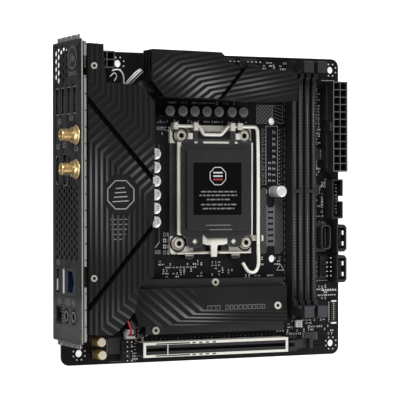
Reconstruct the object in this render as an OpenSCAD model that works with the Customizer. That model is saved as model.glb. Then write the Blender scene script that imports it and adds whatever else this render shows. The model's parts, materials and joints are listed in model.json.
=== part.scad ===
// Mini-ITX desktop motherboard, laid flat with its component side up.
// Millimetres. The origin is the centre of the CPU cooler hole square on the
// board's top face; +X runs from the rear port edge to the front edge, +Y from
// the expansion slot edge to the top edge, +Z out of the component side.

/* [Board] */
// which piece to draw
// square board side length
board = 170.18; // [170:0.01:170.4]
// board thickness
board_t = 1.6; // [1.5:0.05:1.6]
// board corner radius
corner_r = 4.5; // [2:0.5:5]
// case standoff hole radius
standoff_r = 1.98; // [1.9:0.01:2.1]
// cooler hole square side
cooler_pitch = 78; // [77.5:0.1:78.5]
// cooler hole radius
cooler_r = 2.05; // [2:0.05:2.3]

/* [Rear panel] */
// rear panel sheet thickness
shield_t = 0.4; // [0.3:0.1:0.5]
// vent hole size across flats
vent = 2.9; // [2.2:0.1:3.1]
// antenna thread radius
sma_r = 3.175; // [3.1:0.005:3.2]

/* [Heatsinks] */
// height of the rear heatsink's top face
rear_sink_h = 36; // [35.2:0.2:37]
// height of the top heatsink's top face
top_sink_h = 28; // [27:0.5:30]
// height of the raised line pattern
ridge_h = 0.6; // [0.3:0.1:0.9]
// width of the dark diagonal channels
channel_w = 2.8; // [2.4:0.2:3.2]

/* [Memory and slots] */
// centre of the memory slot nearest the CPU
dimm_a = 139.4; // [139:0.1:139.6]
// memory slot spacing
dimm_pitch = 8.5; // [8.3:0.1:9]
// height of the memory latches
latch_h = 22; // [20:0.5:24]
// expansion slot height
pcie_h = 11; // [11:0.1:11.6]

/* [Hidden] */
$fn = 32;

// cooler square centre, from the board's lower rear corner
cpu = [88.2, 94.67];

// colours shared by several nodes
brass = [0.83, 0.64, 0.30];
sink_black = [0.115, 0.115, 0.12];
slot_black = [0.05, 0.05, 0.052];
latch_grey = [0.20, 0.21, 0.23];
screw_steel = [0.72, 0.71, 0.69];

// ---- helpers ----
// Spans are [from, to] pairs along one axis.
function around(middle, half) = [middle - half, middle + half];

// children measured from the board's lower rear corner
module on_board() translate([-cpu[0], -cpu[1], 0]) children();

module box(xs, ys, zs)
    translate([xs[0], ys[0], zs[0]]) cube([xs[1] - xs[0], ys[1] - ys[0], zs[1] - zs[0]]);

// cylinders along Z, X and Y; "at" holds the other two coordinates
module post(at, radius, zs, sides = 32)
    translate([at[0], at[1], zs[0]]) cylinder(r = radius, h = zs[1] - zs[0], $fn = sides);
module rod_x(at, radius, xs, sides = 32)
    translate([xs[0], at[0], at[1]]) rotate([0, 90, 0])
        cylinder(r = radius, h = xs[1] - xs[0], $fn = sides);
module rod_y(at, radius, ys, sides)
    translate([at[0], ys[1], at[1]]) rotate([90, 0, 0])
        cylinder(r = radius, h = ys[1] - ys[0], $fn = sides);

// straight wire from one point to another
module wire(from, to, radius) {
    span = to - from;
    length = norm(span);
    translate(from) rotate([0, acos(span[2] / length), atan2(span[1], span[0])])
        cylinder(r = radius, h = length, $fn = 12);
}

function rounded_rect(xs, ys, radius, steps = 6) = [
    for (corner = [[xs[1] - radius, ys[1] - radius, 0], [xs[0] + radius, ys[1] - radius, 90],
                   [xs[0] + radius, ys[0] + radius, 180], [xs[1] - radius, ys[0] + radius, 270]])
        for (i = [0:steps])
            let (angle = corner[2] + 90 * i / steps)
                [corner[0] + radius * cos(angle), corner[1] + radius * sin(angle)]
];

module extrude_z(points, zs)
    translate([0, 0, zs[0]]) linear_extrude(zs[1] - zs[0]) polygon(points);
// profile drawn in Y and Z, pushed along +X
module extrude_x(x, length)
    translate([x, 0, 0]) rotate([90, 0, 90]) linear_extrude(length) children();
module rounded_box(xs, ys, zs, radius, steps)
    extrude_z(rounded_rect(xs, ys, radius, steps), zs);

// ---- board ----
case_holes = [[10.16, 6.35], [165.1, 6.35], [33.02, 163.83], [165.1, 163.83]];
// socket frame screws, from the cooler centre
frame_screws = [[-19.3, 30.2], [19.3, 30.4], [-20.8, -29.4], [20.4, -29.4]];
frame_hole_r = 1.75;

module pcb() color([0.05, 0.05, 0.055]) on_board()
    translate([0, 0, -board_t]) linear_extrude(board_t) difference() {
        polygon(rounded_rect([0, board], [0, board], corner_r));
        for (at = case_holes) translate(at) circle(standoff_r);
        for (i = [-1, 1], j = [-1, 1])
            translate(cpu + [i, j] * cooler_pitch / 2) circle(cooler_r);
        for (at = frame_screws) translate(cpu + at) circle(frame_hole_r, $fn = 24);
    }

// ---- rear panel ----
panel_x = -3.33;  // outer face
panel_y = [14.6, 14.6 + 158.75];
panel_z = [-3.81, -3.81 + 44.45];
port_x = -2.3;    // rear face of the port bodies
collar_x = [panel_x + 0.1, -2.0];  // port rims standing in the panel openings
usb_pitch = 8.8;
quad_ports = [0:3];
jack_y = 28.2;
jack_z = [16.8, 27.6];
antenna_y = [123.4, 105.7];
antenna_z = 33;
// y, z, width, height
panel_openings = [
    [97.4, 0.3, 16, 5.9], [96.8, 11.2, 17.6, 7.4], [39.1, 0.2, 14.6, 6.2],
    [39.1, 8.6, 14.6, 6.2], [39.1, 16.8, 14.6, 12], [23.4, 0.4, 9.6, 9.8]
];

module hex_hole(at, flats) translate(at) rotate(90) circle(flats / 2 / cos(30), $fn = 6);
// hole of the wide vent field, in row i and column j
module field_vent(i, j)
    hex_hole([59.3 + 4.12 * j + (i % 2 == 0 ? 0 : 2.06), 2.5 + 3.75 * i], vent * 0.95);

module io_shield() color([0.10, 0.10, 0.105]) on_board() {
    extrude_x(panel_x, shield_t) difference() {
        polygon(rounded_rect(panel_y, panel_z, 1.2, 3));
        // narrow vent field at the top edge end
        for (i = [0:4]) for (j = [0:(i % 2 == 0 ? 3 : 4)])
            hex_hole([155.2 + 4.2 * j - (i % 2 == 0 ? 0 : 2.1), 1.15 + 3.97 * i], vent);
        // wide vent field, then its two longer rows
        for (i = [0:8], j = [0:9]) if (!(i == 0 && j > 7)) field_vent(i, j);
        for (i = [5:6], j = [10:12]) field_vent(i, j);
        for (i = quad_ports) translate([134.2, 0.1 + usb_pitch * i]) square([15.4, 6.0]);
        for (o = panel_openings) translate([o[0], o[1]]) square([o[2], o[3]]);
        for (z = jack_z) translate([jack_y, z]) circle(4.3);
        for (y = antenna_y) translate([y, antenna_z]) circle(sma_r + 0.1);
    }
    // return flanges along the upper and lower edges
    for (ys = [[16.1, 44.4], [55.2, 154.1], [164.3, 171.9]])
        box([panel_x + 0.2, -1.0], ys, [panel_z[1] - 0.7, panel_z[1] - 0.001]);
    box([panel_x + 0.2, -2.2], [panel_y[0] + 1.5, panel_y[1] - 1.5],
        [panel_z[0] + 0.001, panel_z[0] + 0.7]);
}

// strips behind the panel ends, notched along their outer edges
module shield_tabs() color([0.72, 0.72, 0.72]) on_board()
    // strip span, notch span
    for (tab = [[[170.2, 175.8], [174.6, 176]], [[12.2, 17.2], [12, 13.4]]]) difference() {
        box([panel_x + shield_t, panel_x + shield_t + 0.4], tab[0], [2.6, 36.4]);
        for (i = [0:3]) box([panel_x, -1], tab[1], [8 + 8 * i, 8.8 + 8 * i]);
    }

module usb_quad_stack() color([0.55, 0.55, 0.56]) on_board() difference() {
    union() {
        box([port_x, 14.4], [134.8, 149.2], [0, 33.4]);
        for (i = quad_ports)
            box(collar_x, [134.5, 149.3], [0.35 + usb_pitch * i, 5.85 + usb_pitch * i]);
    }
    for (i = quad_ports)
        box([panel_x, 8.5], [135.2, 148.6], [0.75 + usb_pitch * i, 5.45 + usb_pitch * i]);
}

module lan_usb_stack() color([0.60, 0.60, 0.60]) on_board() difference() {
    union() {
        box([port_x, 18.6], [38.7, 54.1], [0, 29.4]);
        for (zs = [[0.5, 6.1], [8.9, 14.5], [17.1, 28.5]]) box(collar_x, [39.4, 53.4], zs);
    }
    for (zs = [[0.9, 5.7], [9.3, 14.1]]) box([panel_x, 8.5], [39.9, 52.9], zs);
    box([panel_x, 14.5], [39.9, 52.9], [17.5, 28.1]);
}

module lan_insert() color([0.12, 0.22, 0.50]) on_board() difference() {
    box([-3.1, 14.4], [40, 52.8], [17.6, 28.0]);
    // plug opening, stepping narrower upwards
    box([-4, 11.5], [40.9, 51.9], [18.3, 25.4]);
    box([-4, 11.5], [43.3, 49.5], [25.0, 26.6]);
    box([-4, 11.5], [44.9, 47.9], [26.3, 27.5]);
}

module port_tongues() color([0.06, 0.06, 0.065]) on_board() {
    for (i = quad_ports)
        box([-1.8, 8.5], [136.4, 147.4], [3.3 + usb_pitch * i, 5.0 + usb_pitch * i]);
    for (zs = [[3.5, 5.3], [11.9, 13.7]]) box([-1.8, 8.5], [41.1, 51.7], zs);
    // display ports
    box([-1.6, 7.97], [100.4, 110.6], [2.2, 3.4]);
    box([-1.6, 7.97], [99.6, 111.6], [14.6, 16.2]);
    // front edge USB-C header
    box([156.8, 157.6], [62.6, 73.0], [3, 8.0]);
}

// port openings, y and z
lower_display = [
    [98.2, 3.0], [99.8, 1.0], [111.0, 1.0], [112.6, 3.0], [112.6, 5.5], [98.2, 5.5]
];
upper_display = [[97.6, 12.0], [113.6, 12.0], [113.6, 17.8], [99.2, 17.8], [97.6, 16.2]];

module display_ports() color([0.50, 0.50, 0.52]) on_board() difference() {
    union() {
        box([port_x, 14], [97.4, 113.4], [0, 8.6]);
        box([port_x, 15], [96.6, 114.6], [8.4, 20.2]);
        box(collar_x, [97.7, 113.1], [0.6, 5.9]);
        box(collar_x, [97.1, 114.1], [11.5, 18.3]);
    }
    for (opening = [lower_display, upper_display])
        extrude_x(panel_x - 0.1, 11.4) polygon(opening);
}

module audio_stack() color([0.06, 0.06, 0.06]) on_board() difference() {
    union() {
        box([port_x, 12.0], [21.8, 34.6], [0, 33.2]);
        for (z = jack_z) rod_x([jack_y, z], 4.1, collar_x);
        box(collar_x, [23.6, 32.8], [0.6, 10.0]);
    }
    for (z = jack_z) rod_x([jack_y, z], 1.85, [panel_x - 0.1, 9], 24);
    // stepped square opening
    box([panel_x - 0.1, 7], [24.6, 31.8], [2.0, 6.4]);
    box([panel_x - 0.1, 7], [26.4, 30.0], [6.2, 8.8]);
}

module antenna_jacks() color(brass) on_board()
    for (y = antenna_y) let (axis = [y, antenna_z]) difference() {
        union() {
            rod_x(axis, sma_r, [-12.4, -6.2]);
            rod_x(axis, sma_r - 0.35, [-6.3, -2.4]);
            rod_x(axis, 4.6, [-2.9, -1.0], 6);
        }
        rod_x(axis, 2.3, [-12.5, -7.5], 24);
        rod_x(axis, 0.5, [-7.7, -6.8], 12);
    }

module antenna_nuts() color(brass) on_board()
    for (y = antenna_y) let (axis = [y, antenna_z]) difference() {
        union() {
            rod_x(axis, 5.2, [-4.13, panel_x]);
            rod_x(axis, 4.62, [-6.1, -4.0], 6);
        }
        rod_x(axis, sma_r + 0.05, [-7, -3]);
    }

module wifi_module() color([0.45, 0.45, 0.46]) on_board() {
    box([0.6, 20], [116.4, 132.2], [0, 25]);
    for (y = [123.4, 118.9]) post([3.2, y], 0.9, [24.9, 29.6], 16);
}

// ---- heatsinks ----
// outlines, x and y
rear_sink = [
    [1.9, 19.4], [15.3, 18.9], [18.9, 21.2], [24.4, 27.0], [27.6, 30.4], [28.9, 34.7],
    [29.4, 40.4], [31.2, 44.2], [35.0, 45.2], [39.0, 50.0], [39.4, 142.0], [37.9, 142.9],
    [31.6, 149.9], [11.8, 150.9], [10.3, 171.0], [1.7, 171.3]
];
top_sink = [
    [48.2, 145.0], [63.5, 144.6], [81.7, 144.3], [100.2, 143.2], [128.7, 143.8],
    [129.2, 156.0], [124.1, 160.6], [88.3, 161.8], [82.5, 169.5], [41.5, 170.1], [41.3, 152.8]
];
rear_sink_screws = [[5.0, 159.5], [4.8, 48.8]];
rear_screw_seat = rear_sink_h - 0.6;
pipe_elbow = [38.2, 150.2, 19.6];  // where the heat pipe's two runs meet
pipe_axis = [pipe_elbow[1], pipe_elbow[2]];
pipe_r = 3.0;
pipe_bore_r = 3.1;
vrm_pitch = 7.4;
rear_vrm = [0:5];  // row beside the rear heatsink edge, along Y
top_vrm = [0:6];   // row under the top heatsink, along X

// one raised line: a polyline pushed sideways
module band(path, shift)
    polygon(concat(path, [for (i = [len(path) - 1:-1:0]) path[i] + shift]));
// corners of a straight strip centred on the line from a to b
function strip(a, b, width) =
    let (along = b - a, side = [-along[1], along[0]] / norm(along) * width / 2)
        [a + side, b + side, b - side, a - side];
// raised lines clipped to an outline, sunk 0.2 into its top face
module ridges(outline, top)
    translate([0, 0, top - 0.2]) linear_extrude(ridge_h + 0.2) intersection() {
        polygon(outline);
        union() children();
    }
// heat pipe run under the rear heatsink
module slanted_run(radius, length, sides)
    translate(pipe_elbow) rotate([0, 90, 225]) cylinder(r = radius, h = length, $fn = sides);

module rear_chevrons() {
    bend = [30.3, 127.8];
    step = [3.05, -2.72];
    low_step = [step[0], 3.1];
    width = [1.3, -1.15];
    // upper half, down to y = 78
    for (i = [-3:7])
        band([bend + i * step + [0, 45], bend + i * step, [11.5, 112.3] + i * step,
              [11.5 + step[0] * i, 78]], width);
    // shorter lines towards the rear edge
    for (i = [-9:-4])
        band([bend + i * step + [0, 30], bend + i * step, [0.2, 103.0] + i * step], width);
    // lower half
    for (i = [-3:8])
        band([[11.5 + step[0] * i, 78.01], [11.5, 25.2] + i * low_step,
              [25.0, 16.2] + i * low_step], [1.3, 0.9]);
}

module io_heatsink() color(sink_black) on_board() difference() {
    union() {
        extrude_z(rear_sink, [rear_sink_h - 2.4, rear_sink_h]);
        box([22, 38.2], [58, 140], [6, rear_sink_h - 2.3]);
        box([27.4, 37.6], [76, 118], [1.5, 6.5]);
        ridges(rear_sink, rear_sink_h) rear_chevrons();
    }
    // diagonal channels
    for (line = [[[0.0, 143.5], [43.5, 94.8]], [[1.0, 32.0], [40.5, 78.2]]])
        extrude_z(strip(line[0], line[1], channel_w), [rear_sink_h - 2, rear_sink_h + 2]);
    // plain octagonal plaque where the lines stop
    extrude_z([for (a = [22.5:45:360]) [20, 92.3] + [10.8 * cos(a), 11.6 * sin(a)]],
              [rear_sink_h + 0.05, rear_sink_h + 4.05]);
    slanted_run(pipe_bore_r, 17.8, 32);
    // louvres on the side facing the CPU
    for (k = [0:4]) box([34.5, 38.4], [57, 141], [10 + 4.6 * k, 12 + 4.6 * k]);
    for (at = rear_sink_screws) {
        post(at, 2.1, [rear_screw_seat, rear_sink_h + 4], 24);
        post(at, 1.3, [rear_sink_h - 3, rear_sink_h + 2], 16);
    }
}

module top_chevrons() for (i = [-5:7]) {
    bend = [65.1, 157.2] + i * [2.8, -2.25];
    band([bend - [24, 17.9], bend, bend + [78, 14.6]], [1.2, -1.0]);
}

module vrm_heatsink() color(sink_black) on_board() difference() {
    union() {
        extrude_z(top_sink, [top_sink_h - 12.5, top_sink_h]);
        box([52, 112], [145.6, 160.8], [6, top_sink_h - 12.4]);
        box([52, 112], [153.6, 160.8], [1.5, 6.1]);
        ridges(top_sink, top_sink_h) top_chevrons();
    }
    // diagonal channel
    extrude_z(strip([98.6, 164.0], [80.3, 142.6], channel_w * 0.8),
              [top_sink_h - 2, top_sink_h + 3]);
    // grooves across the rear end
    for (k = [0:2])
        box([41, 47.5], [156.8, 171], [top_sink_h - 11 + 3.9 * k, top_sink_h - 9.1 + 3.9 * k]);
    rod_x(pipe_axis, pipe_bore_r, [41, 62]);
}

module heatpipe() color([0.42, 0.42, 0.43]) on_board() {
    rod_x(pipe_axis, pipe_r, [pipe_elbow[0], 61.9], 12);
    post(pipe_elbow, 3.2, [16.5, 22.7], 12);
    slanted_run(pipe_r, 17.6, 12);
}

module thermal_pads() color([0.55, 0.56, 0.60]) on_board() {
    box([28, 37.4], [76.4, 117.6], [1.0, 1.5]);
    box([52.4, 111.6], [154, 160.6], [1.0, 1.5]);
    box([56, 108], [146.2, 151.9], [5.5, 6.0]);
}

module vrm_chokes() color([0.20, 0.20, 0.21]) on_board() {
    for (i = rear_vrm) let (y = 74.2 + vrm_pitch * i)
        rounded_box([40.4, 47.2], [y, y + 6.6], [0, 5.5], 0.6, 2);
    for (i = top_vrm) let (x = 57.0 + vrm_pitch * i)
        rounded_box([x, x + 6.6], [145.8, 152.4], [0, 5.5], 0.6, 2);
}

module vrm_mosfets() color([0.07, 0.07, 0.075]) on_board() {
    for (i = rear_vrm) let (y = 75.0 + vrm_pitch * i) box([31.0, 36.0], [y, y + 6], [0, 1.0]);
    for (i = top_vrm) let (x = 57.3 + vrm_pitch * i) box([x, x + 6], [155.0, 160.0], [0, 1.0]);
}

// ---- capacitors ----
// round can on a square base
module capacitor(at, radius, height) {
    box(around(at[0], radius), around(at[1], radius), [0, 1.2]);
    post(at, radius, [1.1, height]);
}
can_r = 3.15;

module caps_black() color([0.10, 0.10, 0.11]) on_board()
    for (x = [60.2, 67.9, 75.1, 82.5, 89.9, 97.9, 105.0]) capacitor([x, 138.2], can_r, 9);
module caps_silver() color([0.70, 0.70, 0.72]) on_board() {
    for (i = [0:5]) capacitor([51.7, 77.3 + 7.45 * i], can_r, 9);
    capacitor([127.4, 93.9], can_r, 12);
}
module audio_caps() color([0.78, 0.62, 0.28]) on_board()
    for (at = [[19.6, 12.9], [20.1, 5.9]]) capacitor(at, 2.6, 9.5);

// ---- power connectors ----
cell_pitch = 4.2;
cell_w = 3.6;
pin_inset = 1.3;  // from cell wall to pin
// first cell corner x and y, then cell counts along X and Y
atx_cells = [160.4, 105.9, 2, 12];
eps_cells = [9.2, 161.0, 4, 2];

// one square block per cell, shrunk by inset on each side
module power_cells(grid, inset, zs)
    for (i = [0:grid[2] - 1], j = [0:grid[3] - 1])
        let (x = grid[0] + cell_pitch * i, y = grid[1] + cell_pitch * j)
            box([x + inset, x + cell_w - inset], [y + inset, y + cell_w - inset], zs);

module atx_connector() color(slot_black) on_board() difference() {
    union() {
        box([159.6, 169.0], [105.1, 156.5], [0, 13]);
        box([157.8, 159.7], [128.4, 133.2], [6.2, 12.4]);
        for (ys = [[107, 127], [134.6, 154.6]]) box([159.0, 159.7], ys, [0, 6]);
    }
    power_cells(atx_cells, 0, [3, 14]);
}
module eps_connector() color(slot_black) on_board() difference() {
    union() {
        box([8.4, 26.0], [160.2, 169.6], [0, 13]);
        box([14.8, 19.6], [158.4, 160.3], [6.2, 12.4]);
    }
    power_cells(eps_cells, 0, [3, 14]);
}
module power_pins() color([0.80, 0.66, 0.35]) on_board()
    for (grid = [atx_cells, eps_cells]) power_cells(grid, pin_inset, [3, 7]);

// ---- expansion slot ----
module pcie_slot() color([0.04, 0.04, 0.042]) on_board() difference() {
    union() {
        box([43.8, 131.1], [4.2, 11.1], [0, pcie_h - 0.6]);
        box([131.0, 134.6], [4.4, 10.9], [0, 5.2]);
        for (y = [3.0, 10.0]) box([134.5, 140.6], [y, y + 1.9], [0, 4.6]);
        box([134.5, 136.0], [4.8, 10.1], [0, 2.4]);
    }
    for (xs = [[45.4, 56.9], [58.5, 130.0]]) box(xs, [6.7, 8.6], [2.6, 12]);
}

module pcie_shield() color([0.82, 0.80, 0.76]) on_board() {
    // bar across the card opening
    box([57.45, 57.95], [4.9, 10.4], [pcie_h - 0.5, pcie_h]);
    difference() {
        box([43.2, 131.7], [3.6, 11.7], [0.1, pcie_h]);
        box([43.75, 131.15], [4.15, 11.15], [-1, pcie_h - 0.55]);
        box([44.8, 130.1], [5.0, 10.3], [1, 12]);
        // open ends
        box([42, 44.0], [4.15, 11.15], [-1, pcie_h - 0.55]);
        box([131, 132], [4.3, 11.0], [-1, 5.3]);
        // long and short windows beside the card opening
        for (y = [4.0, 10.5]) {
            box([50.6, 71.0], [y, y + 0.7], [8, 12]);
            for (x = [73.4, 77.5, 81.5, 85.7]) box(around(x, 1.0), [y, y + 0.7], [8, 12]);
        }
        // notches along the lower edges
        for (i = [0:7], y = [3.5, 11.1])
            box([48 + 10.4 * i, 53 + 10.4 * i], [y, y + 0.7], [-0.5, 1.8]);
    }
}

module pcie_latch() color([0.09, 0.09, 0.095]) on_board() difference() {
    width = [5.05, 9.85];
    union() {
        box([136.6, 139.4], width, [2.6, 12.2]);
        box([132.4, 139.4], width, [9.6, 12.2]);
        box([139.3, 147.6], width, [4.9, 7.1]);
        box([146.2, 148.4], [4.7, 10.2], [4.9, 9.4]);
        rod_y([138.0, 3.2], 1.0, width, 24);
    }
    box([131, 135.2], [6.4, 8.5], [8, 13]);
}

// ---- memory ----
dimm_b = dimm_a + dimm_pitch;
contact_offset = 1.9;  // contact row from the slot centre

module dimm_slots() color(slot_black) on_board() for (x = [dimm_a, dimm_b]) difference() {
    union() {
        box(around(x, 3.5), [29.6, 160.4], [0, 8]);
        for (ys = [[158, 162.4], [27.6, 32]]) box(around(x, 3.5), ys, [0, 9.6]);
        // cheeks and floors around the latches
        for (side = [-1, 1], ys = [[162.3, 168.2], [21.8, 27.7]])
            box(around(x + side * 3.1, 0.4), ys, [0, 8.2]);
        for (ys = [[166.4, 168.2], [21.8, 23.6]]) box(around(x, 3.0), ys, [0, 1.2]);
    }
    for (ys = [[27, 93.2], [94.8, 163]]) box(around(x, 0.8), ys, [3.4, 12]);
    for (side = [-1, 1], ys = [[33, 92.6], [95.4, 157]])
        box(around(x + side * contact_offset, 0.75), ys, [7.4, 9]);
}
module dimm_contacts() color([0.62, 0.62, 0.62]) on_board()
    for (x = [dimm_a, dimm_b], side = [-1, 1], ys = [[33.1, 92.5], [95.5, 156.9]])
        box(around(x + side * contact_offset, 0.65), ys, [7.4, 8.05]);

// latch profiles: distance outwards from the pivot along Y, then z
latch_foot = [[-2.2, 5.0], [-2.2, 10.4], [1.6, 10.4], [1.6, 2.4], [-1.2, 1.6], [-2.0, 3.4]];
latch_head = [
    [-4.4, 10.2], [-4.4, 14.0], [-2.8, 16.5], [-4.6, latch_h - 1.2], [-4.4, latch_h],
    [1.6, latch_h], [2.0, latch_h - 1.6], [1.4, latch_h - 4.0], [1.6, 10.2]
];

// latch with its pivot near the board; end = 1 for the upper end, -1 for the lower
module dimm_latch(x, end) color(latch_grey) on_board() difference() {
    y = end > 0 ? 165.0 : 25.0;
    union() {
        extrude_x(x - 2.55, 5.1) polygon([for (p = latch_foot) [y + end * p[0], p[1]]]);
        extrude_x(x - 3.0, 6.0) polygon([for (p = latch_head) [y + end * p[0], p[1]]]);
        rod_x([y, 4.6], 1.1, around(x, 2.66), 20);
    }
    // module edge slot
    box(around(x, 0.9), around(y - end * 3.6, 2.4), [9, 17]);
}
module dimm_latch_a_top() dimm_latch(dimm_a, 1);
module dimm_latch_a_bottom() dimm_latch(dimm_a, -1);
module dimm_latch_b_top() dimm_latch(dimm_b, 1);
module dimm_latch_b_bottom() dimm_latch(dimm_b, -1);

// ---- processor socket, drawn around the origin ----
lever_y = 35.4;
lever_z = 5.5;
hinge_axis = [30.5, 4.4];  // load plate hinge, y and z
backplate_top = -board_t - 0.3;

module socket_body() color([0.08, 0.08, 0.085]) difference() {
    box(around(0, 20.8), around(0, 25.2), [0, 3.8]);
    box(around(0, 18.9), around(0, 22.7), [2.6, 5]);
    for (side = [-1, 1]) box(around(side * 19.9, 1.2), [-6, 6], [3.0, 5]);
}
module socket_contacts() color([0.80, 0.66, 0.34]) difference() {
    box(around(0, 17.4), around(0, 21.2), [2.6, 2.9]);
    box(around(0, 6.0), around(0, 5.5), [2, 4]);
}

module ilm_frame() color([0.70, 0.68, 0.65]) difference() {
    catch_y = [-28.6, -25.4];
    union() {
        rounded_box([-25.4, 24.4], [-35.4, 36.0], [0, 2.6], 1.6, 3);
        for (at = frame_screws) post(at, 3.9, [0, 3.0], 24);
        // ears around the lever wire at the top edge
        for (xs = [[-12.9, -10.4], [9.6, 12.2]]) box(xs, [33.0, 37.4], [2.5, 7.6]);
        for (xs = [[-24.9, -22.4], [14.0, 17.2]]) box(xs, [33.6, 37.4], [2.5, 7.2]);
        // plate hinge cheeks
        for (x = [-12.4, 10.2]) box([x, x + 2.0], [28.6, 32.4], [2.5, 6.2]);
        // catch for the lever arm
        box([26.0, 29.4], catch_y, [0, 2.0]);
        box([24.3, 26.2], catch_y, [0, 2.0]);
        box([28.9, 29.7], catch_y, [0, 7.4]);
        // turned-up lower lip
        for (xs = [[-21.8, -1.8], [3.9, 23.8]]) box(xs, [-35.4, -34.6], [2.5, 4.0]);
        // rounded feet below the lip
        for (xs = [[-16.2, -11.2], [12.2, 17.4]])
            rounded_box(xs, [-38.2, -34.8], [0.4, 2.6], 1.2, 2);
    }
    rounded_box(around(0, 21.0), around(0, 25.4), [-1, 9], 0.4, 2);
    rod_x([lever_y, lever_z], 1.05, [-26, 34], 24);
    for (x = [-12.5, 10.1]) rod_x(hinge_axis, 0.85, [x, x + 2.2], 20);
    for (at = frame_screws) {
        post(at, frame_hole_r, [-1, 9], 24);
        post(at, 3.5, [3.0, 9], 24);
    }
    box([-4, 6], [-34, -30], [-1, 3]);
}

module ilm_screws() color([0.66, 0.65, 0.63]) for (at = frame_screws) difference() {
    union() {
        post(at, 3.2, [3.0, 4.5], 24);
        post(at, 1.6, [-3.4, 3.1], 24);
    }
    post(at, 1.35, [3.4, 5], 6);
}

// plate under the board with a central window; margin widens the outline
module backing(margin, zs, hole_r) difference() {
    rounded_box(around(0, 27 + margin), around(0, 37 + margin), zs, 3, 4);
    rounded_box(around(0, 15), around(0, 19), [-5, 0], 2, 3);
    for (at = frame_screws) post(at, hole_r, [-5, 0], 24);
}
module backplate() color([0.45, 0.45, 0.46])
    backing(margin = 0, zs = [backplate_top - 1.9, backplate_top], hole_r = 1.66);
module backplate_insulator() color([0.09, 0.09, 0.09])
    backing(margin = 0.4, zs = [backplate_top, -board_t], hole_r = 1.8);

// wire lever: crank along the top, long arm down the +X side, hooked tip; x and y
lever_path = [
    [-25.4, lever_y], [-9.1, lever_y], [-6.0, 30.8], [4.4, 30.8], [8.3, lever_y],
    [27.5, lever_y], [27.5, -43.0], [24.6, -46.2], [20.6, -45.2], [17.6, -40.6]
];
module load_lever() color([0.74, 0.73, 0.71]) {
    last = len(lever_path) - 1;
    points = [for (p = lever_path) [p[0], p[1], lever_z]];
    for (i = [0:last - 1]) wire(points[i], points[i + 1], 1);
    // short posts filling the bends
    for (i = [1:last - 1]) post(points[i], 1.2, around(lever_z, 1.05), 12);
}

// outline, x and y
load_plate_outline = [
    [-22.4, -24.6], [-19.6, -25.0], [-17.2, -27.0], [-16.3, -31.0], [-14.6, -31.9],
    [-10.4, -31.9], [-8.3, -31.1], [-6.8, -29.6], [-5.6, -30.2], [-2.2, -30.8], [-1.8, -37.0],
    [1.4, -37.0], [1.8, -30.8], [6.0, -30.4], [7.6, -29.8], [9.0, -31.1], [10.6, -31.9],
    [14.6, -31.9], [16.3, -31.0], [17.0, -27.4], [19.6, -25.6], [23.6, -25.2], [23.9, 26.4],
    [22.6, 28.0], [-20.8, 28.0], [-22.3, 26.4]
];
module load_plate() color([0.78, 0.76, 0.73]) difference() {
    cut = [0, 9];
    union() {
        extrude_z(load_plate_outline, [4.9, 6.1]);
        // hinge arms and their pins
        for (x = [-16.6, 13.0]) box([x, x + 3.6], [27.8, 31.6], [3.9, 6.1]);
        for (x = [-13.1, 10.15]) rod_x(hinge_axis, 0.8, [x, x + 2.95], 20);
    }
    rounded_box(around(0, 15.2), around(0, 19.4), cut, 1.5, 3);
    for (xs = [[-12, -10], [-6.8, 9.3], [12.6, 14.6]]) box(xs, [25.8, 27.2], cut);
    // diamond holes in the lower lobes
    for (at = [[-11.8, -28.4], [11.9, -28.6]])
        translate(at) rotate(45) box(around(0, 1.2), around(0, 1.2), cut);
    for (at = frame_screws) post(at, 3.6, cut, 24);
}

module socket_cover() color([0.035, 0.035, 0.038]) difference() {
    union() {
        rounded_box([-20.6, 22.2], [-24.6, 25.0], [6.1, 7.0], 1.5, 3);
        rounded_box([-17.6, 20.4], [-22.4, 22.6], [6.9, 8.2], 2, 4);
        rounded_box(around(0, 14.9), around(0, 19.1), [4.2, 6.2], 1.3, 3);
        // tab on the lower edge
        extrude_z([[-6.2, -24.5], [9.8, -24.5], [8.6, -26.6], [-4.8, -26.6]], [6.1, 7.4]);
    }
    rounded_box([-13.8, 15.9], [-13.9, 15.5], [7.9, 9], 0.8, 2);
}

// ---- M.2 drive bay ----
m2_screw = [124.6, 29.9];
m2_base_screws = [[87.9, 43.6], [51.9, 18.0]];
m2_base_seat = 6.9;
m2_cover_top = 12;
cover_screw_seat = 10.8;
// outlines, x and y
m2_ledge = [[44.2, 41.3], [130.4, 41.3], [130.4, 45.4], [47.4, 46.0], [44.2, 46.0]];
m2_outline = [
    [40.6, 20.6], [129.6, 20.6], [130.4, 21.4], [130.4, 41.2], [39.8, 41.2], [38.0, 38.0],
    [38.0, 27.5]
];

module m2_connector() color([0.06, 0.06, 0.06]) on_board() difference() {
    box([38.2, 45.4], [18.9, 40.9], [0, 4.2]);
    box([43.4, 46], [20, 39.8], [2.2, 3.6]);
}
module m2_standoff() color([0.72, 0.62, 0.38]) on_board() difference() {
    union() {
        post(m2_screw, 2.9, [0, 2.4], 6);
        post(m2_screw, 2.2, [2.3, 4.0], 24);
    }
    post(m2_screw, 1.05, [0.8, 5], 20);
}
module m2_base() color([0.10, 0.10, 0.105]) on_board() difference() {
    union() {
        extrude_z(m2_ledge, [5.0, 7.5]);
        box([47.5, 130.4], [43.4, 45.4], [0, 5.1]);
        box([46.2, 130.4], [15.8, 20.4], [5.0, 7.5]);
        box([46.2, 130.4], [15.8, 18.3], [0, 5.1]);
    }
    for (at = m2_base_screws) {
        post(at, 2.5, [m2_base_seat, 9], 24);
        post(at, 1.3, [-1, 8], 20);
    }
}

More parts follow.
